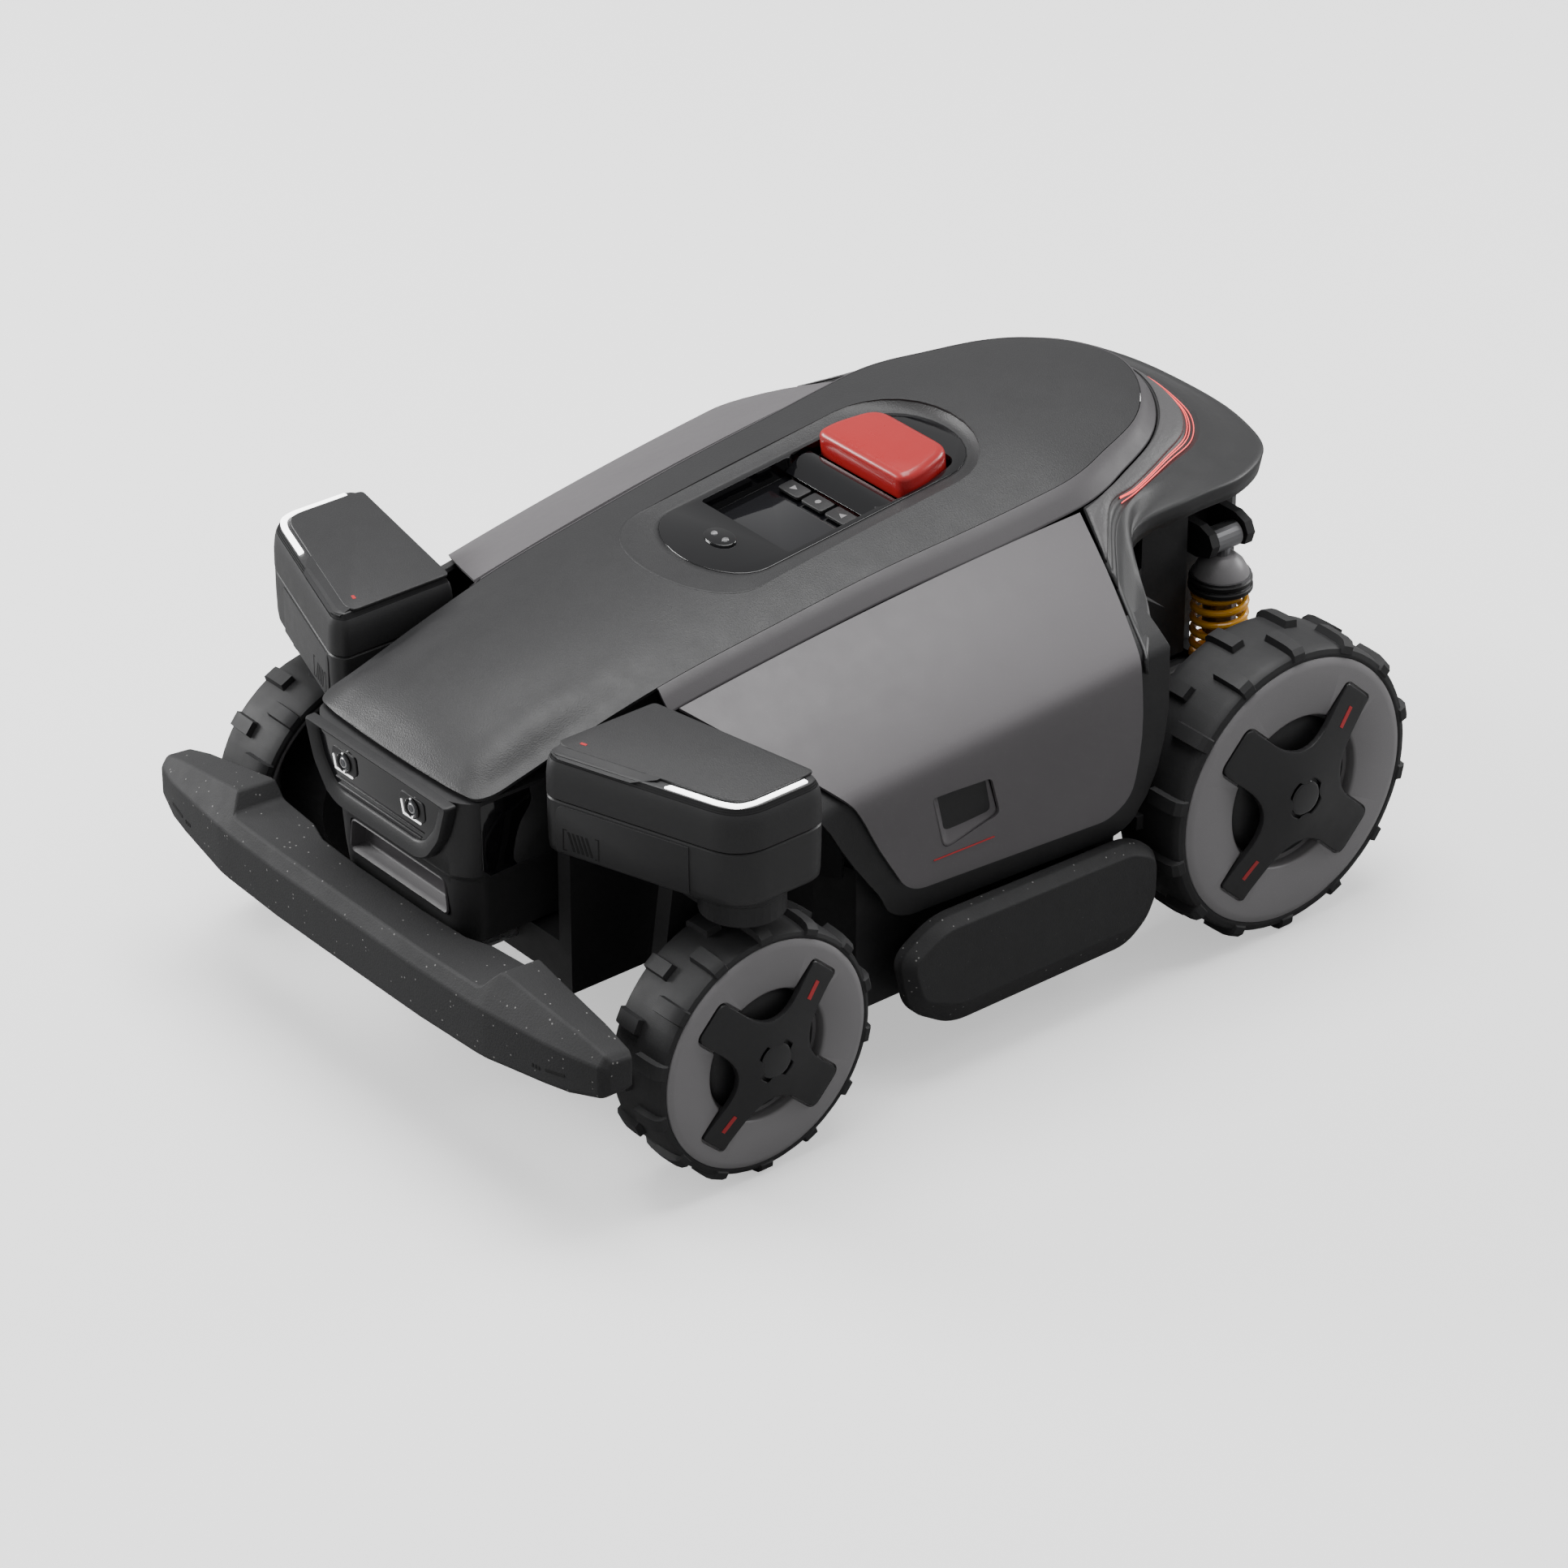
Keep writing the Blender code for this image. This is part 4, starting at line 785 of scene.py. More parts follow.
# Depth down the side, front end, rear end and swell of the middle
SIDE_LINES = (
    (0.00, (0.1115, -0.1970, 0.2770), (0.1262, 0.1363, 0.3145), (0.0008, 0.0, 0.0052)),
    (0.50, (0.1640, -0.1730, 0.2590), (0.1800, 0.1180, 0.2905), (0.0015, 0.0, 0.0040)),
    (0.93, (0.2120, -0.1450, 0.2360), (0.2265, 0.1010, 0.2635), (0.0020, 0.0, 0.0010)),
    (1.07, (0.2195, -0.1365, 0.2260), (0.2335, 0.0985, 0.2515), (0.0015, 0.0, 0.0)),
    (1.50, (0.2215, -0.1180, 0.1900), (0.2320, 0.1020, 0.2000), (0.0010, 0.0, 0.0)),
    (1.90, (0.2225, -0.0980, 0.1560), (0.2290, 0.0965, 0.1530), (0.0, 0.0, 0.0)),
    (2.00, (0.2220, -0.0940, 0.1480), (0.2275, 0.0900, 0.1410), (0.0, 0.0, 0.0)),
    (2.35, (0.2190, -0.0834, 0.1239), (0.2225, 0.0860, 0.1185), (0.0, 0.0, 0.0)),
)


def side_surface(depth, share):
    """A point on the left side's skin: depth from its top edge (0) past the crease (1) to its foot (2)."""
    point = []
    for axis in range(3):
        stations = []
        for level, front, rear, swell in SIDE_LINES:
            bulge = max(0.0, 4 * share * (1 - share)) * swell[axis]
            stations.append((level, front[axis] + (rear[axis] - front[axis]) * share + bulge))
        point.append(smooth_at(stations, depth))
    return Vector(point)


def side_normal(depth, share):
    """Outward direction of the left side's skin."""
    step = 0.01
    down = side_surface(
        min(depth + step, SIDE_LINES[-1][0]), share,
    ) - side_surface(max(depth - step, 0.0), share)
    back = side_surface(depth, share + step) - side_surface(depth, share - step)
    return back.cross(down).normalized() * -1


def mirrored_rows(rows, side):
    """Left-hand rows of points, turned over for the right side."""
    return [[Vector((side * p.x, p.y, p.z)) for p in row] for row in rows]


def corner_inset(level, start, end, reach):
    """How far a rounded corner has come in at a level between its start and its end."""
    if level <= start:
        return 0.0
    t = min(1.0, (level - start) / (end - start))
    return reach * (1 - math.sqrt(max(0.0, 1 - t * t)))


def skin_window(word, side, panel):
    """The camera's recess in a panel: a rounded opening, a sloping tray, a dark window and a lens."""
    outer = rounded(
        [(-0.0765, 0.2155), (-0.0275, 0.2140), (-0.0185, 0.1830), (-0.0655, 0.1715)],
        [0.005, 0.004, 0.006, 0.008], 5,
    )
    hole = prism(f"recess_cutter_{word}", outer, side * 0.20, side * 0.25, "panel_plastic", "YZ", body=None)
    cut(panel, hole)
    bevel(panel, 0.0010, 3, 50)
    inner = rounded(
        [(-0.0650, 0.2125), (-0.0345, 0.2115), (-0.0310, 0.1905), (-0.0615, 0.1890)],
        [0.003, 0.003, 0.004, 0.004], 5,
    )
    rings = []
    for share, depth in ((0.0, 0.0012), (0.12, 0.0004), (0.5, -0.0022), (0.92, -0.0048), (1.0, -0.0056)):
        ring = []
        for (oy, oz), (iy, iz) in zip(outer, inner):
            ring.append((side * (0.2222 + depth), oy + (iy - oy) * share, oz + (iz - oz) * share))
        rings.append(ring)
    bm, _ = grid_mesh(rings, closed=True)
    tray = add(f"recess_tray_{word}", bm, "panel_plastic", smooth=60)
    thicken(tray, 0.0015, -side)
    window = offset_outline(inner, 0.0012)
    prism(
        f"camera_window_{word}", window, side * 0.2080, side * 0.2182, "gloss_black", "YZ",
        replaces=f"side_camera_{word}", edge=0.0005, segments=2,
    )
    lens = (
        (0.0, 0.0012), (0.0020, 0.0011), (0.0030, 0.0004), (0.0034, 0.0010), (0.0042, 0.0010),
        (0.0046, -0.0010), (0.0, -0.0010),
    )
    turned(
        f"side_lens_{word}", lens, along((side, 0, 0), (side * 0.2184, -0.0480, 0.2008)), "lens_glass",
        steps=40,
    )


def build_sides():
    """Both side panels with their camera recess and red stripe, the dark frames under them and the guards."""
    levels = [
        0.0, 0.1, 0.25, 0.4, 0.55, 0.7, 0.8, 0.87, 0.92, 0.96, 1.0, 1.04, 1.08, 1.14, 1.22, 1.35, 1.5, 1.65,
    ]
    levels += [1.78, 1.84, 1.88, 1.92, 1.95, 1.97, 1.985, 1.995, 2.0]
    rows = []
    for level in levels:
        front = corner_inset(level, 1.86, 2.0, 0.085)
        rear = 1 - corner_inset(level, 1.80, 2.0, 0.110)
        rows.append([side_surface(level, front + (rear - front) * i / 40) for i in range(41)])
    frame_levels = [
        0.70, 0.85, 0.95, 1.0, 1.05, 1.2, 1.4, 1.6, 1.8, 1.95, 2.05, 2.15, 2.22, 2.28, 2.32, 2.34, 2.35,
    ]
    frame_rows = []
    for level in frame_levels:
        front = -0.105 + corner_inset(level, 2.15, 2.35, 0.12)
        rear = 1.115 - corner_inset(level, 2.10, 2.35, 0.12)
        rear -= 0.05 * max(0.0, min(1.0, (1.0 - level) / 0.3))
        row = []
        for i in range(33):
            share = front + (rear - front) * i / 32
            row.append(side_surface(level, share) - side_normal(level, share) * 0.0042)
        frame_rows.append(row)
    for word, side in SIDES:
        panel_rows = mirrored_rows(rows, side)
        panel = shell(
            f"side_shell_{word}",
            panel_rows if side < 0 else panel_rows[::-1],
            0.0026,
            "panel_plastic",
            replaces=f"side_panel_{word}",
            edge=0,
        )
        skin_window(word, side, panel)
        under_rows = mirrored_rows(frame_rows, side)
        shell(
            f"frame_shell_{word}",
            under_rows if side < 0 else under_rows[::-1],
            0.0035,
            "frame_plastic",
            replaces=f"side_frame_{word}",
            edge=0.0012,
        )
        shares = [i / 20 for i in range(3, 9)]
        stripe = [side_surface(1.78, share) + side_normal(1.78, share) * 0.0002 for share in shares]
        up = [(side, 0, 0.1)] * len(stripe)
        ribbon(
            f"side_stripe_{word}", mirrored_rows([stripe], side)[0], 0.0011, 0.0004, "mark_red", normals=up,
        )
        build_guard(word, side)


def build_guard(word, side):
    """A foam guard with a chamfered foot, and the mount behind it."""
    corners = [
        (-0.1080, 0.1040), (-0.0760, 0.1235), (0.0960, 0.1195), (0.1195, 0.1060), (0.1190, 0.0560),
        (0.0960, 0.0372), (-0.0620, 0.0372), (-0.0980, 0.0600),
    ]
    radii = [0.012, 0.016, 0.010, 0.012, 0.014, 0.012, 0.014, 0.014]
    outline = rounded(corners, radii, 6)
    face = [
        (-0.1010, 0.1020), (-0.0730, 0.1178), (0.0925, 0.1140), (0.1135, 0.1030), (0.1130, 0.0690),
        (0.0930, 0.0560), (-0.0600, 0.0560), (-0.0920, 0.0700),
    ]
    face = rounded(face, [r * 0.7 for r in radii], 6)
    sections = [[(side * x, y, z) for y, z in outline] for x in (0.2215, 0.2225, 0.2300)]
    sections.append([(side * 0.2385, y, z) for y, z in face])
    guard = loft(f"guard_foam_{word}", sections, "foam_guard", replaces=f"side_guard_{word}", smooth=28)
    bevel(guard, 0.0014, 3, 20)
    inner_x, outer_x = sorted((side * 0.2004, side * 0.2225))
    box(f"guard_mount_{word}", (inner_x, -0.0700, 0.0650), (outer_x, 0.0800, 0.1050), "frame_plastic")


# ---------------------------------------------------------------- tail

# Glowing line, rim and foot of the skirt, from behind the side panel round to the centre line
TAIL_STATIONS = (
    ((0.1750, 0.1235, 0.2915), (0.2330, 0.1040, 0.2585), (0.2325, 0.1055, 0.2470)),
    ((0.1290, 0.1640, 0.3120), (0.2050, 0.1310, 0.2710), (0.2040, 0.1320, 0.2590)),
    ((0.1230, 0.1900, 0.3130), (0.1430, 0.1700, 0.2930), (0.1420, 0.1710, 0.2810)),
    ((0.1040, 0.2360, 0.3135), (0.1390, 0.2300, 0.2988), (0.1375, 0.2300, 0.2860)),
    ((0.0900, 0.2680, 0.3138), (0.1340, 0.2800, 0.2970), (0.1320, 0.2785, 0.2840)),
    ((0.0640, 0.2900, 0.3145), (0.1080, 0.3230, 0.2948), (0.1065, 0.3210, 0.2815)),
    ((0.0300, 0.3000, 0.3160), (0.0600, 0.3435, 0.2940), (0.0590, 0.3410, 0.2800)),
    ((0.0000, 0.3030, 0.3170), (0.0000, 0.3500, 0.2930), (0.0000, 0.3475, 0.2790)),
)


def tail_columns():
    """For each station round the tail: the band's edge, the glowing line, the rim and the skirt's foot."""
    lines = [closed_spline([s[k] for s in TAIL_STATIONS], first=False) for k in range(3)]
    inner = []
    for point, out in band_frames()[-len(lines[0]) :]:
        width = smooth_at(BAND_WIDTHS, point.y) + 0.0010
        edge = point + out * (width - 0.0006) + Vector((0, 0, -0.0118))
        if point.x < 1e-5:
            edge.x = 0.0
        inner.append(edge)
    return list(zip(inner, *lines))


# Rows across the tail: a strip (0 to the glowing line, 1 to the rim, 2 to the foot), share across it, lift
TAIL_ROWS = (
    (0, 0.0, -0.0008), (0, 0.45, -0.0010), (0, 0.84, -0.0008), (0, 0.88, -0.0020), (1, 0.10, -0.0022),
    (1, 0.13, 0.0), (1, 0.16, 0.0004), (1, 0.35, 0.0004), (1, 0.60, 0.0), (1, 0.84, -0.0006),
    (1, 0.90, 0.0003),
    (1, 0.97, 0.0002), (2, 0.06, 0.0), (2, 0.50, 0.0), (2, 1.0, 0.0),
)
INLAY_ROWS = (
    (0, 0.03, -0.0006), (0, 0.06, 0.0006), (0, 0.30, 0.0007), (0, 0.55, 0.0007), (0, 0.76, 0.0006),
    (0, 0.80, -0.0006)
)
GLOW_ROWS = ((0, 0.90, -0.0010), (0, 0.975, -0.0010), (1, 0.05, -0.0010))
GLOW_TRIM = 11  # points left off each end of a glowing line


def tail_row(columns, strip, share, lift):
    """A line round the whole tail, part of the way across one of its strips."""
    raised = Vector((0, 0, lift))
    return both_sides([column[strip].lerp(column[strip + 1], share) + raised for column in columns])


def build_tail():
    """The tail cover, its inlay beside the band and the three thin glowing lines."""
    columns = tail_columns()
    cover = [tail_row(columns, *row) for row in TAIL_ROWS]
    shell("tail_shell", cover[::-1], 0.0028, "tail_plastic", replaces="tail_cover", edge=0)
    inlay = [tail_row(columns, *row) for row in INLAY_ROWS]
    shell("tail_inlay", inlay[::-1], 0.0012, "inlay_plastic", edge=0)
    for k, row in enumerate(GLOW_ROWS):
        line = tail_row(columns, *row)[GLOW_TRIM:-GLOW_TRIM]
        ribbon(f"tail_glow_{k + 1}", line, 0.0007, 0.0005, "lamp_red", replaces=() if k else "tail_light")


# ---------------------------------------------------------------- head and axle


def face_matrix(origin, u, v):
    """The plane through an origin along two directions, its normal last."""
    u, v = Vector(u).normalized(), Vector(v).normalized()
    n = u.cross(v)
    return Matrix(
        ((u.x, v.x, n.x, origin[0]), (u.y, v.y, n.y, origin[1]), (u.z, v.z, n.z, origin[2]), (0, 0, 0, 1))
    )


def on_side(obj, side, matrix=None):
    """Places a left-hand piece, and mirrors it if it is for the right side."""
    if matrix:
        obj.data.transform(matrix)
    if side < 0:
        obj.data.transform(Matrix.Scale(-1, 4, (1, 0, 0)))
        obj.data.flip_normals()


def head_ring(half, front, rear, z, r=0.012):
    """A level of the camera housing: straight sides, with its front corners cut and rounded."""
    corners = [
        (half, rear), (half, front + 0.010), (half - 0.014, front), (-(half - 0.014), front),
        (-half, front + 0.010), (-half, rear),
    ]
    return [(x, y, z) for x, y in rounded(corners, [0.002, r, r, r, r, 0.002], 6)]


def build_housing():
    """The camera housing under the nose, with the tray let into its chin."""
    rings = [
        head_ring(0.0700, -0.3400, -0.2520, 0.1304),
        head_ring(0.0735, -0.3430, -0.2500, 0.1330),
        head_ring(0.0755, -0.3445, -0.2500, 0.1500),
        head_ring(0.0765, -0.3460, -0.2500, 0.1740),
        head_ring(0.0770, -0.3470, -0.2500, 0.1810),
        head_ring(0.0800, -0.3510, -0.2520, 0.1855),
        head_ring(0.0835, -0.3540, -0.2540, 0.1900),
        head_ring(0.0848, -0.3548, -0.2560, 0.2100),
        head_ring(0.0850, -0.3550, -0.2580, 0.2466),
    ]
    housing = loft("head_shell", rings, "tail_plastic", replaces="head_housing", smooth=40)
    chin = rounded([(-0.0560, 0.1480), (0.0560, 0.1480), (0.0530, 0.1760), (-0.0530, 0.1760)], 0.0060)
    cut(housing, prism("chin_cutter", chin, -0.3800, -0.3355, "gloss_black", "XZ", body=None))
    bevel(housing, 0.0010, 3, 50)
    outline = rounded([(-0.0545, 0.1492), (0.0545, 0.1492), (0.0516, 0.1748), (-0.0516, 0.1748)], 0.0055)
    rows = []
    for inset, y in (
        (0.0, -0.3445), (0.0006, -0.3450), (0.0022, -0.3430), (0.0040, -0.3370), (0.0060, -0.3358),
    ):
        rows.append([(x, y, z) for x, z in offset_outline(outline, -inset)])
    bm, grid = grid_mesh(rows, closed=True)
    bm.faces.new(grid[-1])
    tray = add("chin_tray", bm, "band_plastic", smooth=60)
    thicken(tray, 0.0012, 1.0)


def build_camera_bar():
    """The bezel round the stereo camera, its gloss panel and the two ribs below the lenses."""
    outer = both_halves(
        [(0.0790, 0.2470), (0.0700, 0.2180), (0.0560, 0.1985), (0.0440, 0.1930)],
        [0.003, 0.006, 0.008, 0.008],
    )
    opening = both_halves(
        [(0.0670, 0.2430), (0.0610, 0.2240), (0.0500, 0.2100), (0.0410, 0.2060)],
        [0.004, 0.005, 0.006, 0.006],
    )
    rows = []
    for share, y in (
        (0.0, -0.3545), (0.0, -0.3595), (0.05, -0.3615), (0.16, -0.3628), (0.50, -0.3620), (0.86, -0.3606),
        (0.95, -0.3598), (1.0, -0.3575), (1.0, -0.3545),
    ):
        rows.append(
            [
                (ox + (ix - ox) * share, y, oz + (iz - oz) * share)
                for (ox, oz), (ix, iz) in zip(outer, opening)
            ]
        )
    bm, _ = grid_mesh(rows, closed=True, wrap=True)
    add("bezel_ring", bm, "frame_plastic", replaces="camera_bezel", smooth=40)
    prism(
        "camera_panel", offset_outline(opening, 0.0006), -0.3588, -0.3550, "gloss_black", "XZ",
        replaces="stereo_camera", edge=0.0003,
    )
    for k, (half, z, thick) in enumerate(((0.0480, 0.2135, 0.0008), (0.0440, 0.2085, 0.0022))):
        bar = rounded(
            [
                (-half, z - thick / 2), (half, z - thick / 2), (half + thick, z + thick / 2),
                (-half - thick, z + thick / 2),
            ],
            thick * 0.3, 3,
        )
        prism(f"panel_rib_{k + 1}", bar, -0.3596, -0.3586, "star_plastic", "XZ", edge=0.0002, segments=1)


def build_eyes():
    """Both lenses of the stereo camera, each on its plate with a thin lit line."""
    for word, x in (("left", 0.0376), ("right", -0.0376)):
        plate = rounded(
            [
                (x - 0.0135, 0.2365), (x + 0.0120, 0.2365), (x + 0.0135, 0.2240), (x + 0.0070, 0.2185),
                (x - 0.0100, 0.2185), (x - 0.0150, 0.2260),
            ],
            0.0030,
        )
        prism(f"eye_plate_{word}", plate, -0.3596, -0.3580, "star_plastic", "XZ", edge=0.0005)
        front = along((0, -1, 0), (x, -0.3594, 0.2285))
        turned(
            f"eye_rim_{word}",
            ((0.0074, 0.0), (0.0074, 0.0012), (0.0066, 0.0018), (0.0056, 0.0010), (0.0054, 0.0)), front,
            "gloss_black", steps=48,
        )
        turned(
            f"eye_glass_{word}",
            (
                (0.0, 0.0016), (0.0020, 0.0015), (0.0040, 0.0011), (0.0056, 0.0004), (0.0056, -0.0006),
                (0.0, -0.0006),
            ),
            front,
            "lens_glass",
            steps=40,
        )
        turned(
            f"eye_iris_{word}", ((0.0026, 0.00155), (0.0032, 0.0018), (0.0038, 0.0014), (0.0032, 0.0008)),
            front, "steel", steps=40,
        )
        bar = [
            (x - 0.0130, 0.2300), (x - 0.0116, 0.2300), (x - 0.0094, 0.2212), (x + 0.0090, 0.2212),
            (x + 0.0090, 0.2198), (x - 0.0104, 0.2198),
        ]
        prism(f"eye_light_{word}", rounded(bar, 0.0005, 3), -0.3601, -0.3594, "eye_white", "XZ")


def build_cheeks():
    """The plates on the housing's sides, and the gloss strips in front of them."""
    for word, side in SIDES:
        line = [
            (-0.3000, 0.2440), (-0.2990, 0.2330), (-0.3080, 0.2200), (-0.3130, 0.2050), (-0.3140, 0.1950),
            (-0.3110, 0.1900),
        ]
        edge = [tuple(p) for p in spline(line, 6)]
        outline = edge + [(-0.2580, 0.1880), (-0.2560, 0.2460)]
        prism(
            f"head_cheek_{word}", outline, side * 0.0828, side * 0.0853, "tail_plastic", "YZ", edge=0.0006,
            segments=2,
        )
        band = [(y - 0.0005, z) for y, z in edge] + [(-0.3330, 0.1890), (-0.3390, 0.1950), (-0.3400, 0.2440)]
        prism(
            f"head_band_{word}", band, side * 0.0828, side * 0.0852, "gloss_black", "YZ", edge=0.0004,
            segments=2,
        )


POD_PLAN = rounded(
    [(0.1090, -0.2150), (0.2575, -0.1870), (0.2582, -0.2645), (0.1190, -0.3112), (0.1090, -0.3050)],
    [0.004, 0.020, 0.024, 0.006, 0.004],
    8,
)
# Inset from the plan and height, up each half of a pod
POD_CASE = (
    (0.0060, 0.2147), (0.0030, 0.2152), (0.0014, 0.2170), (0.0008, 0.2220), (0.0003, 0.2400),
    (0.0003, 0.2544),
    (0.0012, 0.2553),
)
POD_CAP = (
    (0.0012, 0.2558), (0.0, 0.2568), (0.0001, 0.2700), (0.0008, 0.2770), (0.0018, 0.2810), (0.0026, 0.2828),
    (0.0031, 0.2824), (0.0033, 0.2842), (0.0038, 0.2838), (0.0040, 0.2855), (0.0045, 0.2851),
    (0.0047, 0.2866),
    (0.0056, 0.2870),
)
# Along the top's front edge: x, the crease's y, the front's y and the height it drops to
POD_FACET = (
    (0.1150, -0.2955, -0.3055, 0.2852), (0.1250, -0.2945, -0.3070, 0.2848),
    (0.1600, -0.2830, -0.2955, 0.2848),
    (0.1780, -0.2770, -0.2895, 0.2850), (0.1900, -0.2735, -0.2775, 0.2880),
)


def build_pod(word, side):
    """A steering pod: its case, its stepped cap, the textured plate, the facet, the lamp and a small mark."""
    cap, case = inset_rings(POD_PLAN, POD_CAP), inset_rings(POD_PLAN, POD_CASE)
    on_side(loft(f"pod_cap_{word}", cap, "tail_plastic", replaces=f"pod_upper_{word}", smooth=25), side)
    on_side(loft(f"pod_case_{word}", case, "tail_plastic", replaces=f"pod_lower_{word}", smooth=40), side)
    corners = [
        (0.1115, -0.2172), (0.2440, -0.1925), (0.2455, -0.2000), (0.2462, -0.2450), (0.2440, -0.2530),
        (0.2360, -0.2590), (0.1900, -0.2745), (0.1200, -0.2975), (0.1115, -0.2960),
    ]
    outline = rounded(corners, [0.004, 0.006, 0.004, 0.006, 0.008, 0.008, 0.003, 0.004, 0.004], 5)
    on_side(prism(f"pod_plate_{word}", outline, 0.2868, 0.2890, "cover_plastic", edge=0.0007), side)
    sections = []
    for x, crease, front, drop in POD_FACET:
        sections.append(
            [
                (x, crease, 0.2889), (x, front, drop + 0.0006), (x, front + 0.0006, drop - 0.0004),
                (x, crease, 0.2840),
            ]
        )
    on_side(loft(f"pod_facet_{word}", sections, "frame_plastic", smooth=30), side)
    lamp = [
        (0.1985, -0.2786), (0.2380, -0.2656), (0.2485, -0.2590), (0.2520, -0.2480), (0.2510, -0.2030),
        (0.2472, -0.2030), (0.2480, -0.2470), (0.2452, -0.2555), (0.2360, -0.2617), (0.1996, -0.2737),
    ]
    lamp = rounded(lamp, [0.001, 0.010, 0.006, 0.010, 0.001] * 2, 5)
    on_side(
        prism(
            f"pod_lamp_{word}", lamp, 0.2862, 0.2882, "lamp_white", replaces=f"pod_light_{word}",
            edge=0.0004, segments=1,
        ),
        side,
    )
    mark = rounded([(0.1235, -0.2880), (0.1280, -0.2866), (0.1274, -0.2844), (0.1229, -0.2858)], 0.0004, 3)
    on_side(prism(f"pod_mark_{word}", mark, 0.2888, 0.2892, "mark_red"), side)


def build_pod_face(word, side):
    """The front face of a pod: an inset panel, and black marks painted as the shade in its slanting vents and
    in a bracket at each end of them.
    """
    along_face = Vector((0.2582 - 0.1190, -0.2645 + 0.3112, 0)).normalized()
    to_face = face_matrix((0.1190, -0.3112, 0), along_face, (0, 0, 1))
    inset = rounded(rectangle((0.0060, 0.2180), (0.1080, 0.2530)), [0.003, 0.001, 0.001, 0.008])
    on_side(
        prism(f"pod_inset_{word}", inset, -0.0020, 0.0004, "tail_plastic", edge=0.0003, segments=2), side,
        to_face,
    )
    # Painted shade: thin black slabs on the inset panel stand for the dark inside the vents and the brackets.
    for k in range(5):
        u = 0.0150 + 0.0034 * k
        slot = [(u + 0.0045, 0.2215), (u + 0.0062, 0.2215), (u + 0.0017, 0.2350), (u, 0.2350)]
        on_side(prism(f"pod_vent_shade_{word}_{k + 1}", slot, 0.0, 0.00055, "gap_black"), side, to_face)
    for k, (u, turn) in enumerate(((0.0115, 1), (0.0395, -1))):
        thin, reach = u + turn * 0.0008, u + turn * 0.0030
        bracket = [
            (u, 0.2205), (reach, 0.2205), (reach, 0.2213), (thin, 0.2213), (thin, 0.2357), (reach, 0.2357),
            (reach, 0.2365), (u, 0.2365),
        ]
        on_side(prism(f"pod_bracket_shade_{word}_{k + 1}", bracket, 0.0, 0.00055, "gap_black"), side, to_face)


def build_fork_top(word, side):
    """What shows of a steering fork under its pod: the kingpin's disc and the arm."""
    fork = f"steering_fork_{word}"
    disc = (
        (0.0, 0.2140), (0.0300, 0.2140), (0.0300, 0.2108), (0.0288, 0.2096), (0.0262, 0.2094),
        (0.0262, 0.2050), (0.0250, 0.2040), (0.0, 0.2040),
    )
    seat = Matrix.Translation((side * STEER_AXIS_X, WHEELS["front"]["y"], 0))
    turned(f"kingpin_disc_{word}", disc, seat, "frame_plastic", fork, steps=64)
    arm = [
        (0.1700, -0.2590), (0.2180, -0.2590), (0.2430, -0.2440), (0.2430, -0.2260), (0.2180, -0.2110),
        (0.1700, -0.2110),
    ]
    arm = rounded(arm, [0.004, 0.010, 0.010, 0.010, 0.010, 0.004])
    on_side(prism(f"fork_arm_{word}", arm, 0.2008, 0.2044, "frame_plastic", body=fork, edge=0.0008), side)


# ---------------------------------------------------------------- wheels

WHEELS = {
    "front": {
        "tip": 0.0930, "tread": 0.0885, "ring": 0.0830, "face_x": 0.2497, "width": 0.0525, "proud": 0.0095,
        "y": -0.235,
    },
    "rear": {
        "tip": 0.1126, "tread": 0.1075, "ring": 0.1000, "face_x": 0.2439, "width": 0.0630, "proud": 0.0120,
        "y": 0.235,
    },
}


def tyre_rows(wheel):
    """Rings of the tyre's section, raised in bars that alternate between its outer and inner shoulder."""
    half, ring, tread = wheel["width"] / 2, wheel["ring"], wheel["tread"]
    height, wall = wheel["tip"] - wheel["tread"], wheel["tread"] - wheel["ring"]
    # radius, offset, how far a bar lifts it outwards and sideways, in shares of the bar's height
    one_side = (
        (ring * 0.965, half - 0.0020, 0.0, 0.0),
        (ring * 0.996, half - 0.0006, 0.0, 0.0),
        (ring + 0.0006, half - 0.0002, 0.0, 0.0),
        (ring + wall * 0.22, half - 0.0002, 0.0, 0.0),
        (ring + wall * 0.30, half - 0.0004, 0.10, 0.26),
        (ring + wall * 0.66, half - 0.0012, 0.55, 0.30),
        (tread - 0.0010, half - 0.0034, 0.92, 0.10),
        (tread - 0.0002, half - 0.0080, 1.0, 0.0),
        (tread + 0.0002, half * 0.42, 1.0, 0.0),
        (tread + 0.0003, half * 0.08 + 0.0010, 1.0, 0.0),
        (tread + 0.0003, half * 0.08, 0.0, 0.0),
    )
    pitch = 2 * math.pi / LUGS
    bar = 0.0048 / tread
    slope = bar + 0.0011 / tread
    angles = []
    for k in range(LUGS):
        for centre in (0.0, 0.5):
            for shift, outer in ((-slope, 0), (-bar, 1), (bar, 1), (slope, 0)):
                angles.append(((k + centre) * pitch + shift, outer * (1 if centre == 0.0 else 2)))
            for step in (1, 2):
                gap = pitch / 2 - 2 * slope
                angles.append(((k + centre) * pitch + slope + gap * step / 3, 0))
    rows = []
    for angle, raised in angles:
        row = []
        for sign in (1, -1):
            for radius, offset, up, out in one_side if sign > 0 else one_side[::-1]:
                lift = height if raised == (1 if sign > 0 else 2) else 0.0
                r = radius + lift * up
                row.append((r * math.cos(angle), r * math.sin(angle), sign * (offset + lift * out)))
        rows.append(row)
    return rows


def dome(wheel, radius):
    """Height of the wheel cover above the ring at a radius."""
    reach = wheel["ring"] * 0.825
    share = max(0.0, min(1.0, (radius - 0.014) / (reach - 0.014)))
    return 0.0011 + (wheel["proud"] - 0.0013) * (1 - share) ** 1.25


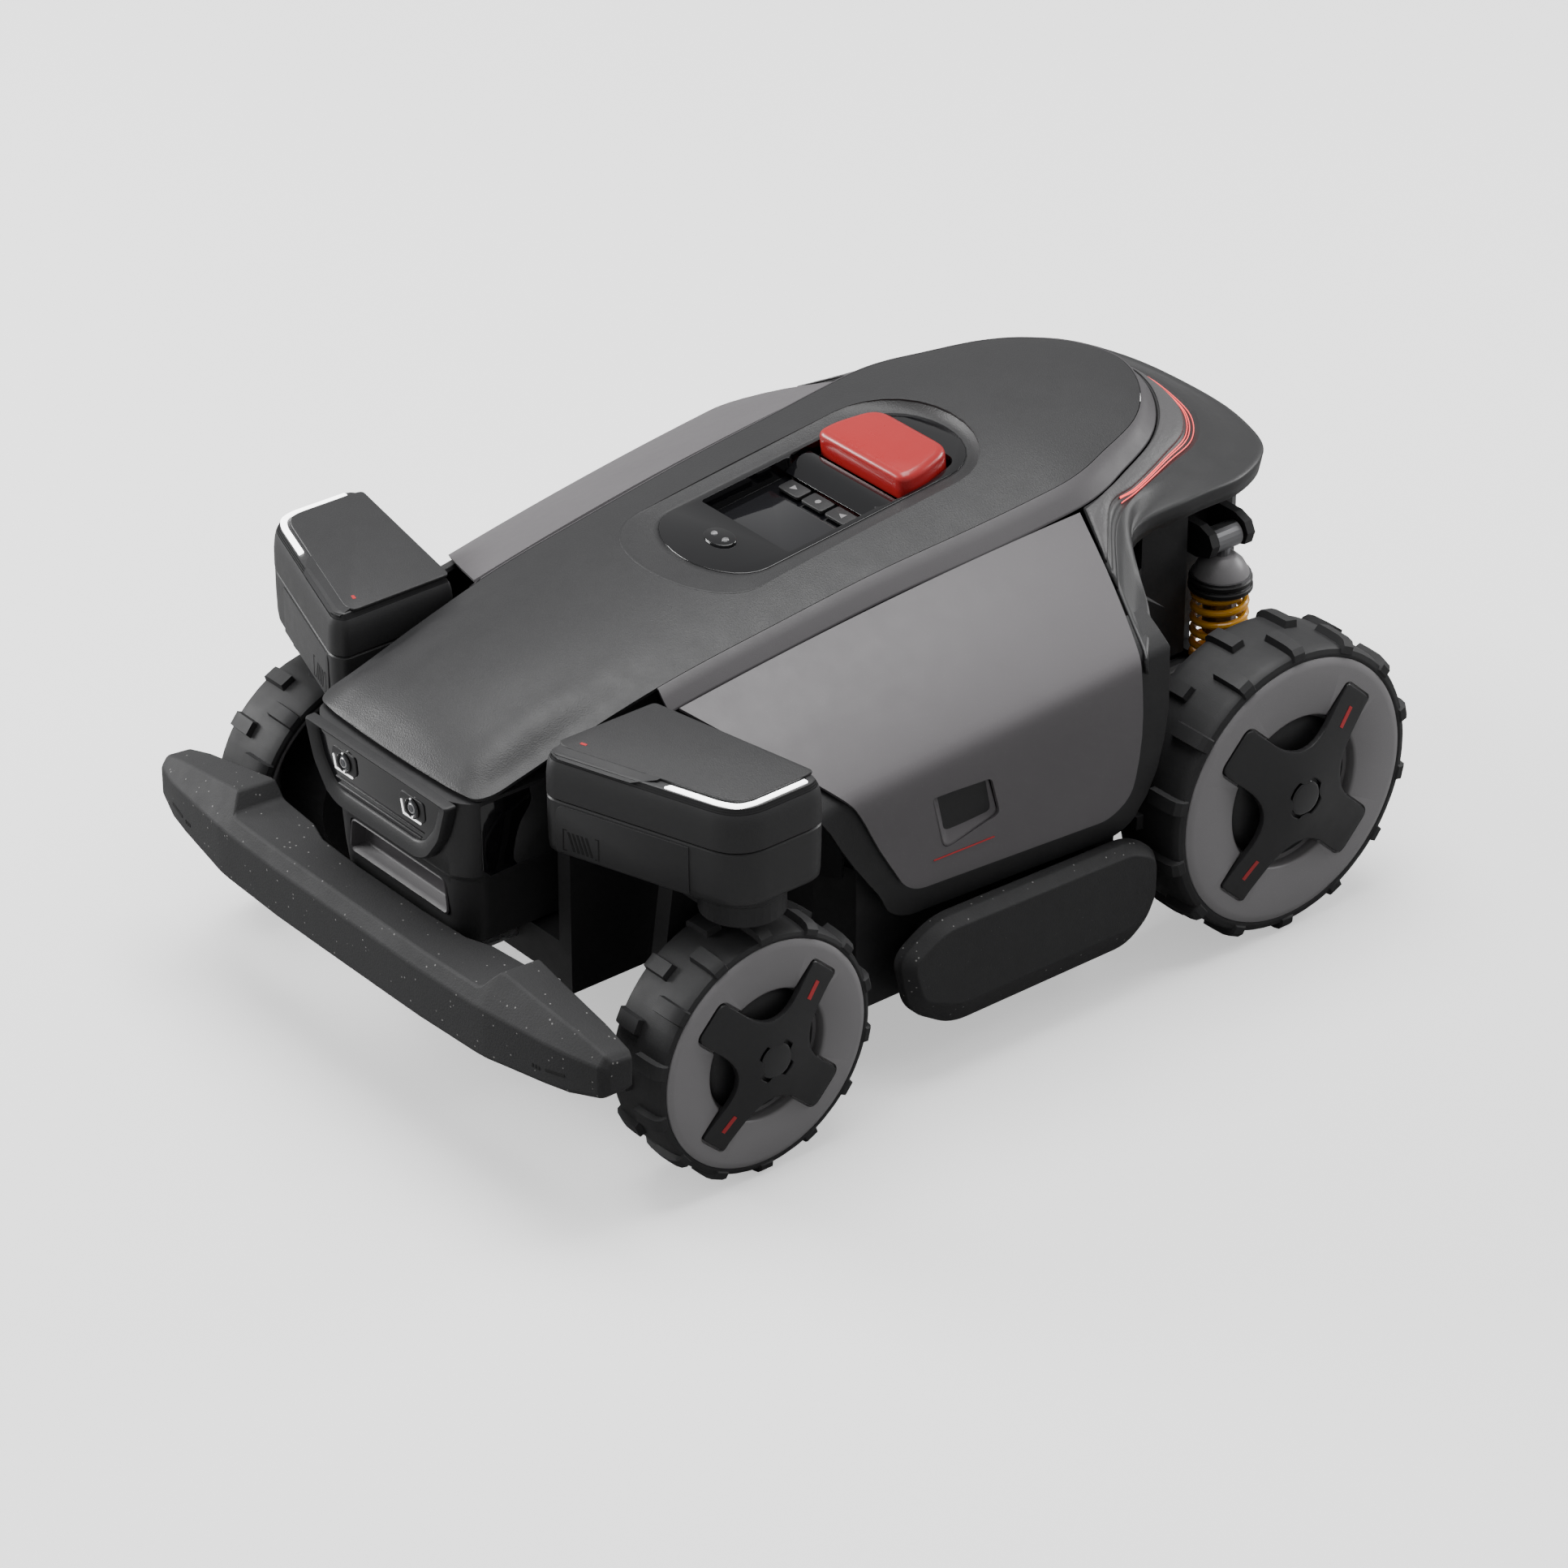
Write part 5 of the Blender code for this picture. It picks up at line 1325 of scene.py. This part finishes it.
def star_outline(ring):
    """The four-armed cover in plan, with enough points along its sides to follow the dome."""
    corners = []
    for x, y in ((0.825, -0.14), (0.825, 0.14), (0.18, 0.14), (0.18, 0.79), (-0.18, 0.79), (-0.18, 0.14)):
        corners.append((x * ring, y * ring))
    corners += [(-x, -y) for x, y in corners]
    radii = [ring * r for r in (0.035, 0.035, 0.37, 0.07, 0.07, 0.37)] * 2
    dense = []
    outline = rounded(corners, radii, 10, 0.62)
    for i, point in enumerate(outline):
        here, after = Vector(point), Vector(outline[(i + 1) % len(outline)])
        pieces = max(1, round((after - here).length / (ring * 0.06)))
        dense += [tuple(here.lerp(after, k / pieces)) for k in range(pieces)]
    return dense


def star_cover(name, wheel, outline, face, matrix, body, replaces):
    """The domed cover, from its foot in the ring over its edge to the recess round the hub cap."""
    bm = bmesh.new()
    loops = []
    foot = ((1.0, -0.0040), (1.0, -0.0009), (0.993, -0.0002), (0.975, 0.0))
    top = [(share, 0.0) for share in (0.90, 0.80, 0.70, 0.60, 0.50, 0.40, 0.34)]
    for share, lift in (*foot, *top):
        loop = []
        for x, y in outline:
            x, y = x * share, y * share
            loop.append(bm.verts.new((x, y, face + dome(wheel, math.hypot(x, y)) + lift)))
        loops.append(loop)
    for radius, lift in ((0.0160, 0.0), (0.0152, -0.0006), (0.0150, -0.0026)):
        loop = []
        for x, y in outline:
            scale = radius / math.hypot(x, y)
            loop.append(bm.verts.new((x * scale, y * scale, face + dome(wheel, radius) + lift)))
        loops.append(loop)
    for first, second in zip(loops, loops[1:]):
        for i in range(len(first)):
            j = (i + 1) % len(first)
            bm.faces.new((first[i], first[j], second[j], second[i]))
    bm.faces.new(loops[0])
    bm.faces.new(loops[-1])
    bmesh.ops.transform(bm, matrix=matrix, verts=bm.verts)
    add(name, bm, "star_plastic", body, replaces, smooth=30)


def build_wheel(row, word, side):
    """A tyre, its ring, the dish in it, the star cover in a pocket of it, the cap and two red inlays."""
    wheel = WHEELS[row]
    ring, half = wheel["ring"], wheel["width"] / 2
    face = half + 0.0015
    body = f"{row}_wheel_{word}"
    middle = side * (wheel["face_x"] - 0.0015 - half)
    at = Matrix.Translation((middle, wheel["y"], wheel["tip"])) @ Matrix.Rotation(side * math.pi / 2, 4, "Y")
    spin = Matrix.Rotation(-side * STAR_LEAN, 4, "Z")
    bm, _ = grid_mesh(tyre_rows(wheel), closed=True, wrap=True)
    bmesh.ops.transform(bm, matrix=at, verts=bm.verts)
    add(f"{row}_tyre_mesh_{word}", bm, "tyre_rubber", body, f"{row}_tyre_{word}", smooth=28)

    hole = ring * 0.57
    profile = (
        (0.0, face - 0.0100), (hole - 0.0010, face - 0.0100), (hole, face - 0.0090), (hole, face - 0.0020),
        (hole + 0.0006, face - 0.0008), (hole + 0.0020, face), (ring * 0.930, face),
        (ring * 0.965, face - 0.0004),
        (ring * 0.988, face - 0.0016), (ring * 0.995, face - 0.0030), (ring * 0.985, face - 0.0042),
        (ring * 0.955, face - 0.0042),
        (ring * 0.955, -half + 0.0050), (ring * 0.900, -half + 0.0050), (ring * 0.900, face - 0.0130),
        (0.0, face - 0.0130),
    )
    rim = turned(
        f"{row}_ring_{word}", profile, Matrix.Identity(4), "ring_grey", body, f"{row}_rim_{word}",
        steps=128, smooth=30,
    )
    outline = star_outline(ring)
    pocket = prism(
        f"{row}_pocket_{word}", offset_outline(outline, 0.0016), face - 0.0026, face + 0.01, "ring_grey",
        body=None,
    )
    place(pocket, spin)
    cut(rim, pocket)
    place(rim, at)
    bevel(rim, 0.0005, 2, 50)

    dish = (
        (0.0, face - 0.0050), (ring * 0.44, face - 0.0050), (ring * 0.50, face - 0.0062),
        (ring * 0.53, face - 0.0085), (ring * 0.53, face - 0.0102), (0.0, face - 0.0102),
    )
    turned(f"{row}_dish_{word}", dish, at, "frame_plastic", body, steps=96)

    star_cover(f"{row}_cover_{word}", wheel, outline, face, at @ spin, body, f"{row}_star_{word}")
    top = face + wheel["proud"]
    cap = (
        (0.0, top), (0.0105, top), (0.0122, top - 0.0004), (0.0128, top - 0.0010), (0.0128, top - 0.0030),
        (0.0, top - 0.0030),
    )
    turned(f"{row}_cap_{word}", cap, at, "gloss_black", body, steps=64)
    for k, turn in enumerate((0.0, math.pi)):
        sections = []
        for i in range(7):
            r = ring * (0.54 + 0.16 * i / 6)
            z = face + dome(wheel, r)
            sections.append(
                [
                    (r, -0.0017, z - 0.001), (r, -0.0017, z + 0.0003), (r, 0.0017, z + 0.0003),
                    (r, 0.0017, z - 0.001),
                ]
            )
        inlay = loft(f"{row}_inlay_{word}_{k + 1}", sections, "mark_red", body)
        place(inlay, at @ spin @ Matrix.Rotation(turn, 4, "Z"))


# ---------------------------------------------------------------- shocks and bumper

# The visible coil, between the rod and the body
SPRING_TURNS = 6
SPRING_STEPS = 24
SPRING_LOW = 0.1482
SPRING_HIGH = 0.2050
SPRING_RADIUS = 0.0183


def spring(word, x):
    """The coil, a fixed helix from the rod at its foot to the body at its top."""
    line = []
    for i in range(SPRING_TURNS * SPRING_STEPS + 1):
        angle = 2 * math.pi * i / SPRING_STEPS
        height = SPRING_LOW + (SPRING_HIGH - SPRING_LOW) * i / (SPRING_TURNS * SPRING_STEPS)
        offset = Vector((math.cos(angle), math.sin(angle), 0)) * SPRING_RADIUS
        line.append(Vector((x, SHOCK_Y, height)) + offset)
    coil = tube(f"shock_coil_{word}", line, 0.0026, "spring_yellow", None, sides=10)
    coil.hide_render = False
    coil.hide_viewport = False
    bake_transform(coil)
    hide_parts(f"shock_spring_{word}")


# Profiles of (radius, height) of the collars and the cone over the coil, and of the bush in the upper eye
RING_LOW = (
    (0.0124, 0.2068), (0.0222, 0.2068), (0.0228, 0.2076), (0.0228, 0.2102), (0.0222, 0.2110),
    (0.0124, 0.2110),
)
RING_HIGH = (
    (0.0100, 0.2126), (0.0218, 0.2126), (0.0224, 0.2134), (0.0224, 0.2158), (0.0216, 0.2168),
    (0.0100, 0.2168),
)
CONE = (
    (0.0, 0.2180), (0.0196, 0.2180), (0.0200, 0.2186), (0.0196, 0.2204), (0.0160, 0.2270), (0.0110, 0.2318),
    (0.0085, 0.2330), (0.0, 0.2332),
)
BUSH = (
    (0.0050, -0.0112), (0.0078, -0.0112), (0.0080, -0.0108), (0.0080, 0.0108), (0.0078, 0.0112),
    (0.0050, 0.0112),
)


def build_shocks():
    """What the visual adds to each shock absorber: two collars, a cone, the coil and the bush in its eye."""
    for word, side in SIDES:
        x = side * SHOCK_X
        body = f"shock_body_{word}"
        up = Matrix.Translation((x, SHOCK_Y, 0))
        turned(f"shock_ring_low_{word}", RING_LOW, up, "star_plastic", body, steps=64)
        turned(f"shock_ring_high_{word}", RING_HIGH, up, "star_plastic", body, steps=64)
        turned(f"shock_cone_{word}", CONE, up, "ring_grey", body, steps=64)
        spring(word, x)
        turned(f"shock_bush_{word}", BUSH, along((0, 1, 0), (x, SHOCK_Y, 0.2460)), "steel", body, steps=40)


BUMPER = (
    # x, front y, rear y, bottom z, foot of the chamfer z, top front y, top z
    (0.2485, -0.3640, -0.3450, 0.1150, 0.1330, -0.3610, 0.1380),
    (0.2440, -0.3690, -0.3438, 0.1105, 0.1350, -0.3630, 0.1420),
    (0.2200, -0.3770, -0.3434, 0.1065, 0.1370, -0.3660, 0.1490),
    (0.2000, -0.3810, -0.3430, 0.1050, 0.1380, -0.3680, 0.1525),
    (0.1700, -0.3855, -0.3420, 0.1028, 0.1390, -0.3700, 0.1575),
    (0.1500, -0.3885, -0.3412, 0.1012, 0.1398, -0.3715, 0.1612),
    (0.1465, -0.3888, -0.3410, 0.1010, 0.1400, -0.3725, 0.1610),
    (0.1425, -0.3890, -0.3407, 0.1008, 0.1397, -0.3770, 0.1560),
    (0.1385, -0.3892, -0.3404, 0.1006, 0.1392, -0.3815, 0.1505),
    (0.1350, -0.3893, -0.3402, 0.1005, 0.1390, -0.3830, 0.1492),
    (0.1000, -0.3905, -0.3430, 0.1002, 0.1390, -0.3840, 0.1490),
    (0.0800, -0.3912, -0.3500, 0.1000, 0.1390, -0.3845, 0.1490),
    (0.0350, -0.3914, -0.3520, 0.1000, 0.1390, -0.3845, 0.1490),
    (0.0000, -0.3914, -0.3520, 0.1000, 0.1390, -0.3845, 0.1490),
)


def build_bumper():
    """The foam bumper, its two rods, and black marks painted as the shade in the slots in its corners."""
    sections = []
    for x, front, rear, bottom, chamfer, top_front, top in BUMPER:
        sections.append(
            [
                (x, y, z)
                for y, z in (
                    (rear, bottom), (front + 0.0030, bottom), (front, bottom + 0.0030), (front, chamfer),
                    (top_front, top), (rear, top - 0.0020),
                )
            ]
        )
    sections += [[(-x, y, z) for x, y, z in section] for section in reversed(sections[:-1])]
    foam = loft("bumper_foam", sections, "foam_guard", "bumper", "front_bumper", smooth=24)
    bevel(foam, 0.0018, 3, 22)
    for word, side in SIDES:
        line = [Vector((side * 0.0500, y, 0.1150)) for y in (-0.3720, -0.3500, -0.3200, -0.2700)]
        tube(f"bumper_rod_{word}", line, 0.0050, "steel", "bumper", sides=24).data.shade_smooth()
        # Painted shade: thin black bars on the bumper's front stand for the dark inside its slots.
        outer = face_matrix((0.2000, -0.3810, 0), Vector((0.0200, 0.0040, 0)), (0, 0, 1))
        inner = face_matrix((0.1700, -0.3855, 0), Vector((0.0300, 0.0045, 0)), (0, 0, 1))
        outline = rounded([(0.0030, 0.1170), (0.0195, 0.1190), (0.0195, 0.1212), (0.0030, 0.1192)], 0.0005, 3)
        bar = prism(f"bumper_slot_shade_{word}_bar", outline, -0.0010, 0.0003, "gap_black", body="bumper")
        on_side(bar, side, outer)
        for k in range(3):
            u = 0.0215 + 0.0028 * k
            outline = rounded(
                [(u, 0.1156), (u + 0.0014, 0.1158), (u + 0.0014, 0.1186), (u, 0.1184)], 0.0003, 3,
            )
            bar = prism(f"bumper_slot_shade_{word}_{k + 1}", outline, -0.0010, 0.0003, "gap_black", body="bumper")
            on_side(bar, side, inner)


# ---------------------------------------------------------------- scene


def finish_cad_nodes():
    """Gives every CAD piece that still shows its own finish."""
    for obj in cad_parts.values():
        if obj.hide_render:
            continue
        for material_slot in obj.material_slots:
            name = material_slot.material.name.split(".")[0]
            material_slot.material = FINISHES[name]
        obj.data.shade_smooth()
        obj.data.set_sharp_from_angle(angle=math.radians(35))


# Place, the point it faces, size and power of each light
LIGHTS = {
    "top_light": ((-0.5, 0.2, 4.2), (0, 0, 0), (3.2, 3.2), 220),
    "left_light": ((-3.0, -2.0, 1.5), (0, 0, 0.2), (1.6, 1.2), 130),
    "back_light": ((0.8, 3.4, 1.6), (0, 0, 0.2), (1.6, 1.0), 60),
}
CAMERA_PLACE = (2.99125, -2.45746, 2.38664)
CAMERA_FALL = math.radians(30.6265)
CAMERA_TURN = math.radians(50.8045)
CAMERA_LENS = 149.07
FLOOR_HALF = 12.0
FLOOR_SHADE = (0.22, 0.22, 0.22)  # what the mower sees of the floor, so that it stays dark
FLOOR_GLOW = 0.62  # what the camera sees on top of the light that falls on the floor
WORLD_LIGHT = 0.42


def area_light(name, location, target, size, power):
    """A soft rectangular light that faces a point."""
    data = bpy.data.lights.new(name, "AREA")
    data.shape = "RECTANGLE"
    data.size, data.size_y = size
    data.energy = power
    light = bpy.data.objects.new(name, data)
    light.location = location
    light.rotation_euler = (Vector(target) - Vector(location)).to_track_quat("-Z", "Y").to_euler()
    bpy.context.scene.collection.objects.link(light)


def build_floor():
    """Pale paper, darker for the light it throws back than for the camera."""
    material, nodes, links, shader = new_material("floor_paper")
    where = object_coordinates(nodes)
    paper = mix_colours(nodes, links, noise(nodes, links, where, 3.0), (0.95, 0.95, 0.95), (0.97, 0.97, 0.97))
    seen = nodes.new("ShaderNodeLightPath").outputs["Is Camera Ray"]
    links.new(mix_colours(nodes, links, seen, FLOOR_SHADE, paper), shader.inputs["Base Color"])
    links.new(remap(nodes, links, seen, 0.0, 1.0, 0.0, FLOOR_GLOW), shader.inputs["Emission Strength"])
    shader.inputs["Emission Color"].default_value = (1.0, 1.0, 1.0, 1.0)
    shader.inputs["Roughness"].default_value = 0.9
    bm = bmesh.new()
    bmesh.ops.create_grid(bm, x_segments=1, y_segments=1, size=FLOOR_HALF)
    mesh = bpy.data.meshes.new("floor")
    bm.to_mesh(mesh)
    bm.free()
    floor = bpy.data.objects.new("floor", mesh)
    mesh.materials.append(material)
    bpy.context.scene.collection.objects.link(floor)


def build_stage():
    """The floor, the world, the lights and the camera."""
    build_floor()
    world = bpy.data.worlds.new("studio")
    world.use_nodes = True
    world.node_tree.nodes["Background"].inputs["Color"].default_value = (1.0, 1.0, 1.0, 1.0)
    world.node_tree.nodes["Background"].inputs["Strength"].default_value = WORLD_LIGHT
    bpy.context.scene.world = world
    for name, setting in LIGHTS.items():
        area_light(name, *setting)
    camera_data = bpy.data.cameras.new("camera")
    camera_data.lens = CAMERA_LENS
    camera_data.sensor_width = 36.0
    camera = bpy.data.objects.new("camera", camera_data)
    camera.location = CAMERA_PLACE
    camera.rotation_euler = (math.pi / 2 - CAMERA_FALL, 0.0, CAMERA_TURN)
    bpy.context.scene.collection.objects.link(camera)
    bpy.context.scene.camera = camera


build_cover()
build_console()
build_band()
build_sides()
build_tail()
build_housing()
build_camera_bar()
build_eyes()
build_cheeks()
for pod_word, pod_side in SIDES:
    build_pod(pod_word, pod_side)
    build_pod_face(pod_word, pod_side)
    build_fork_top(pod_word, pod_side)
for wheel_row in WHEELS:
    for wheel_word, wheel_side in SIDES:
        build_wheel(wheel_row, wheel_word, wheel_side)
build_shocks()
build_bumper()
finish_cad_nodes()
build_stage()
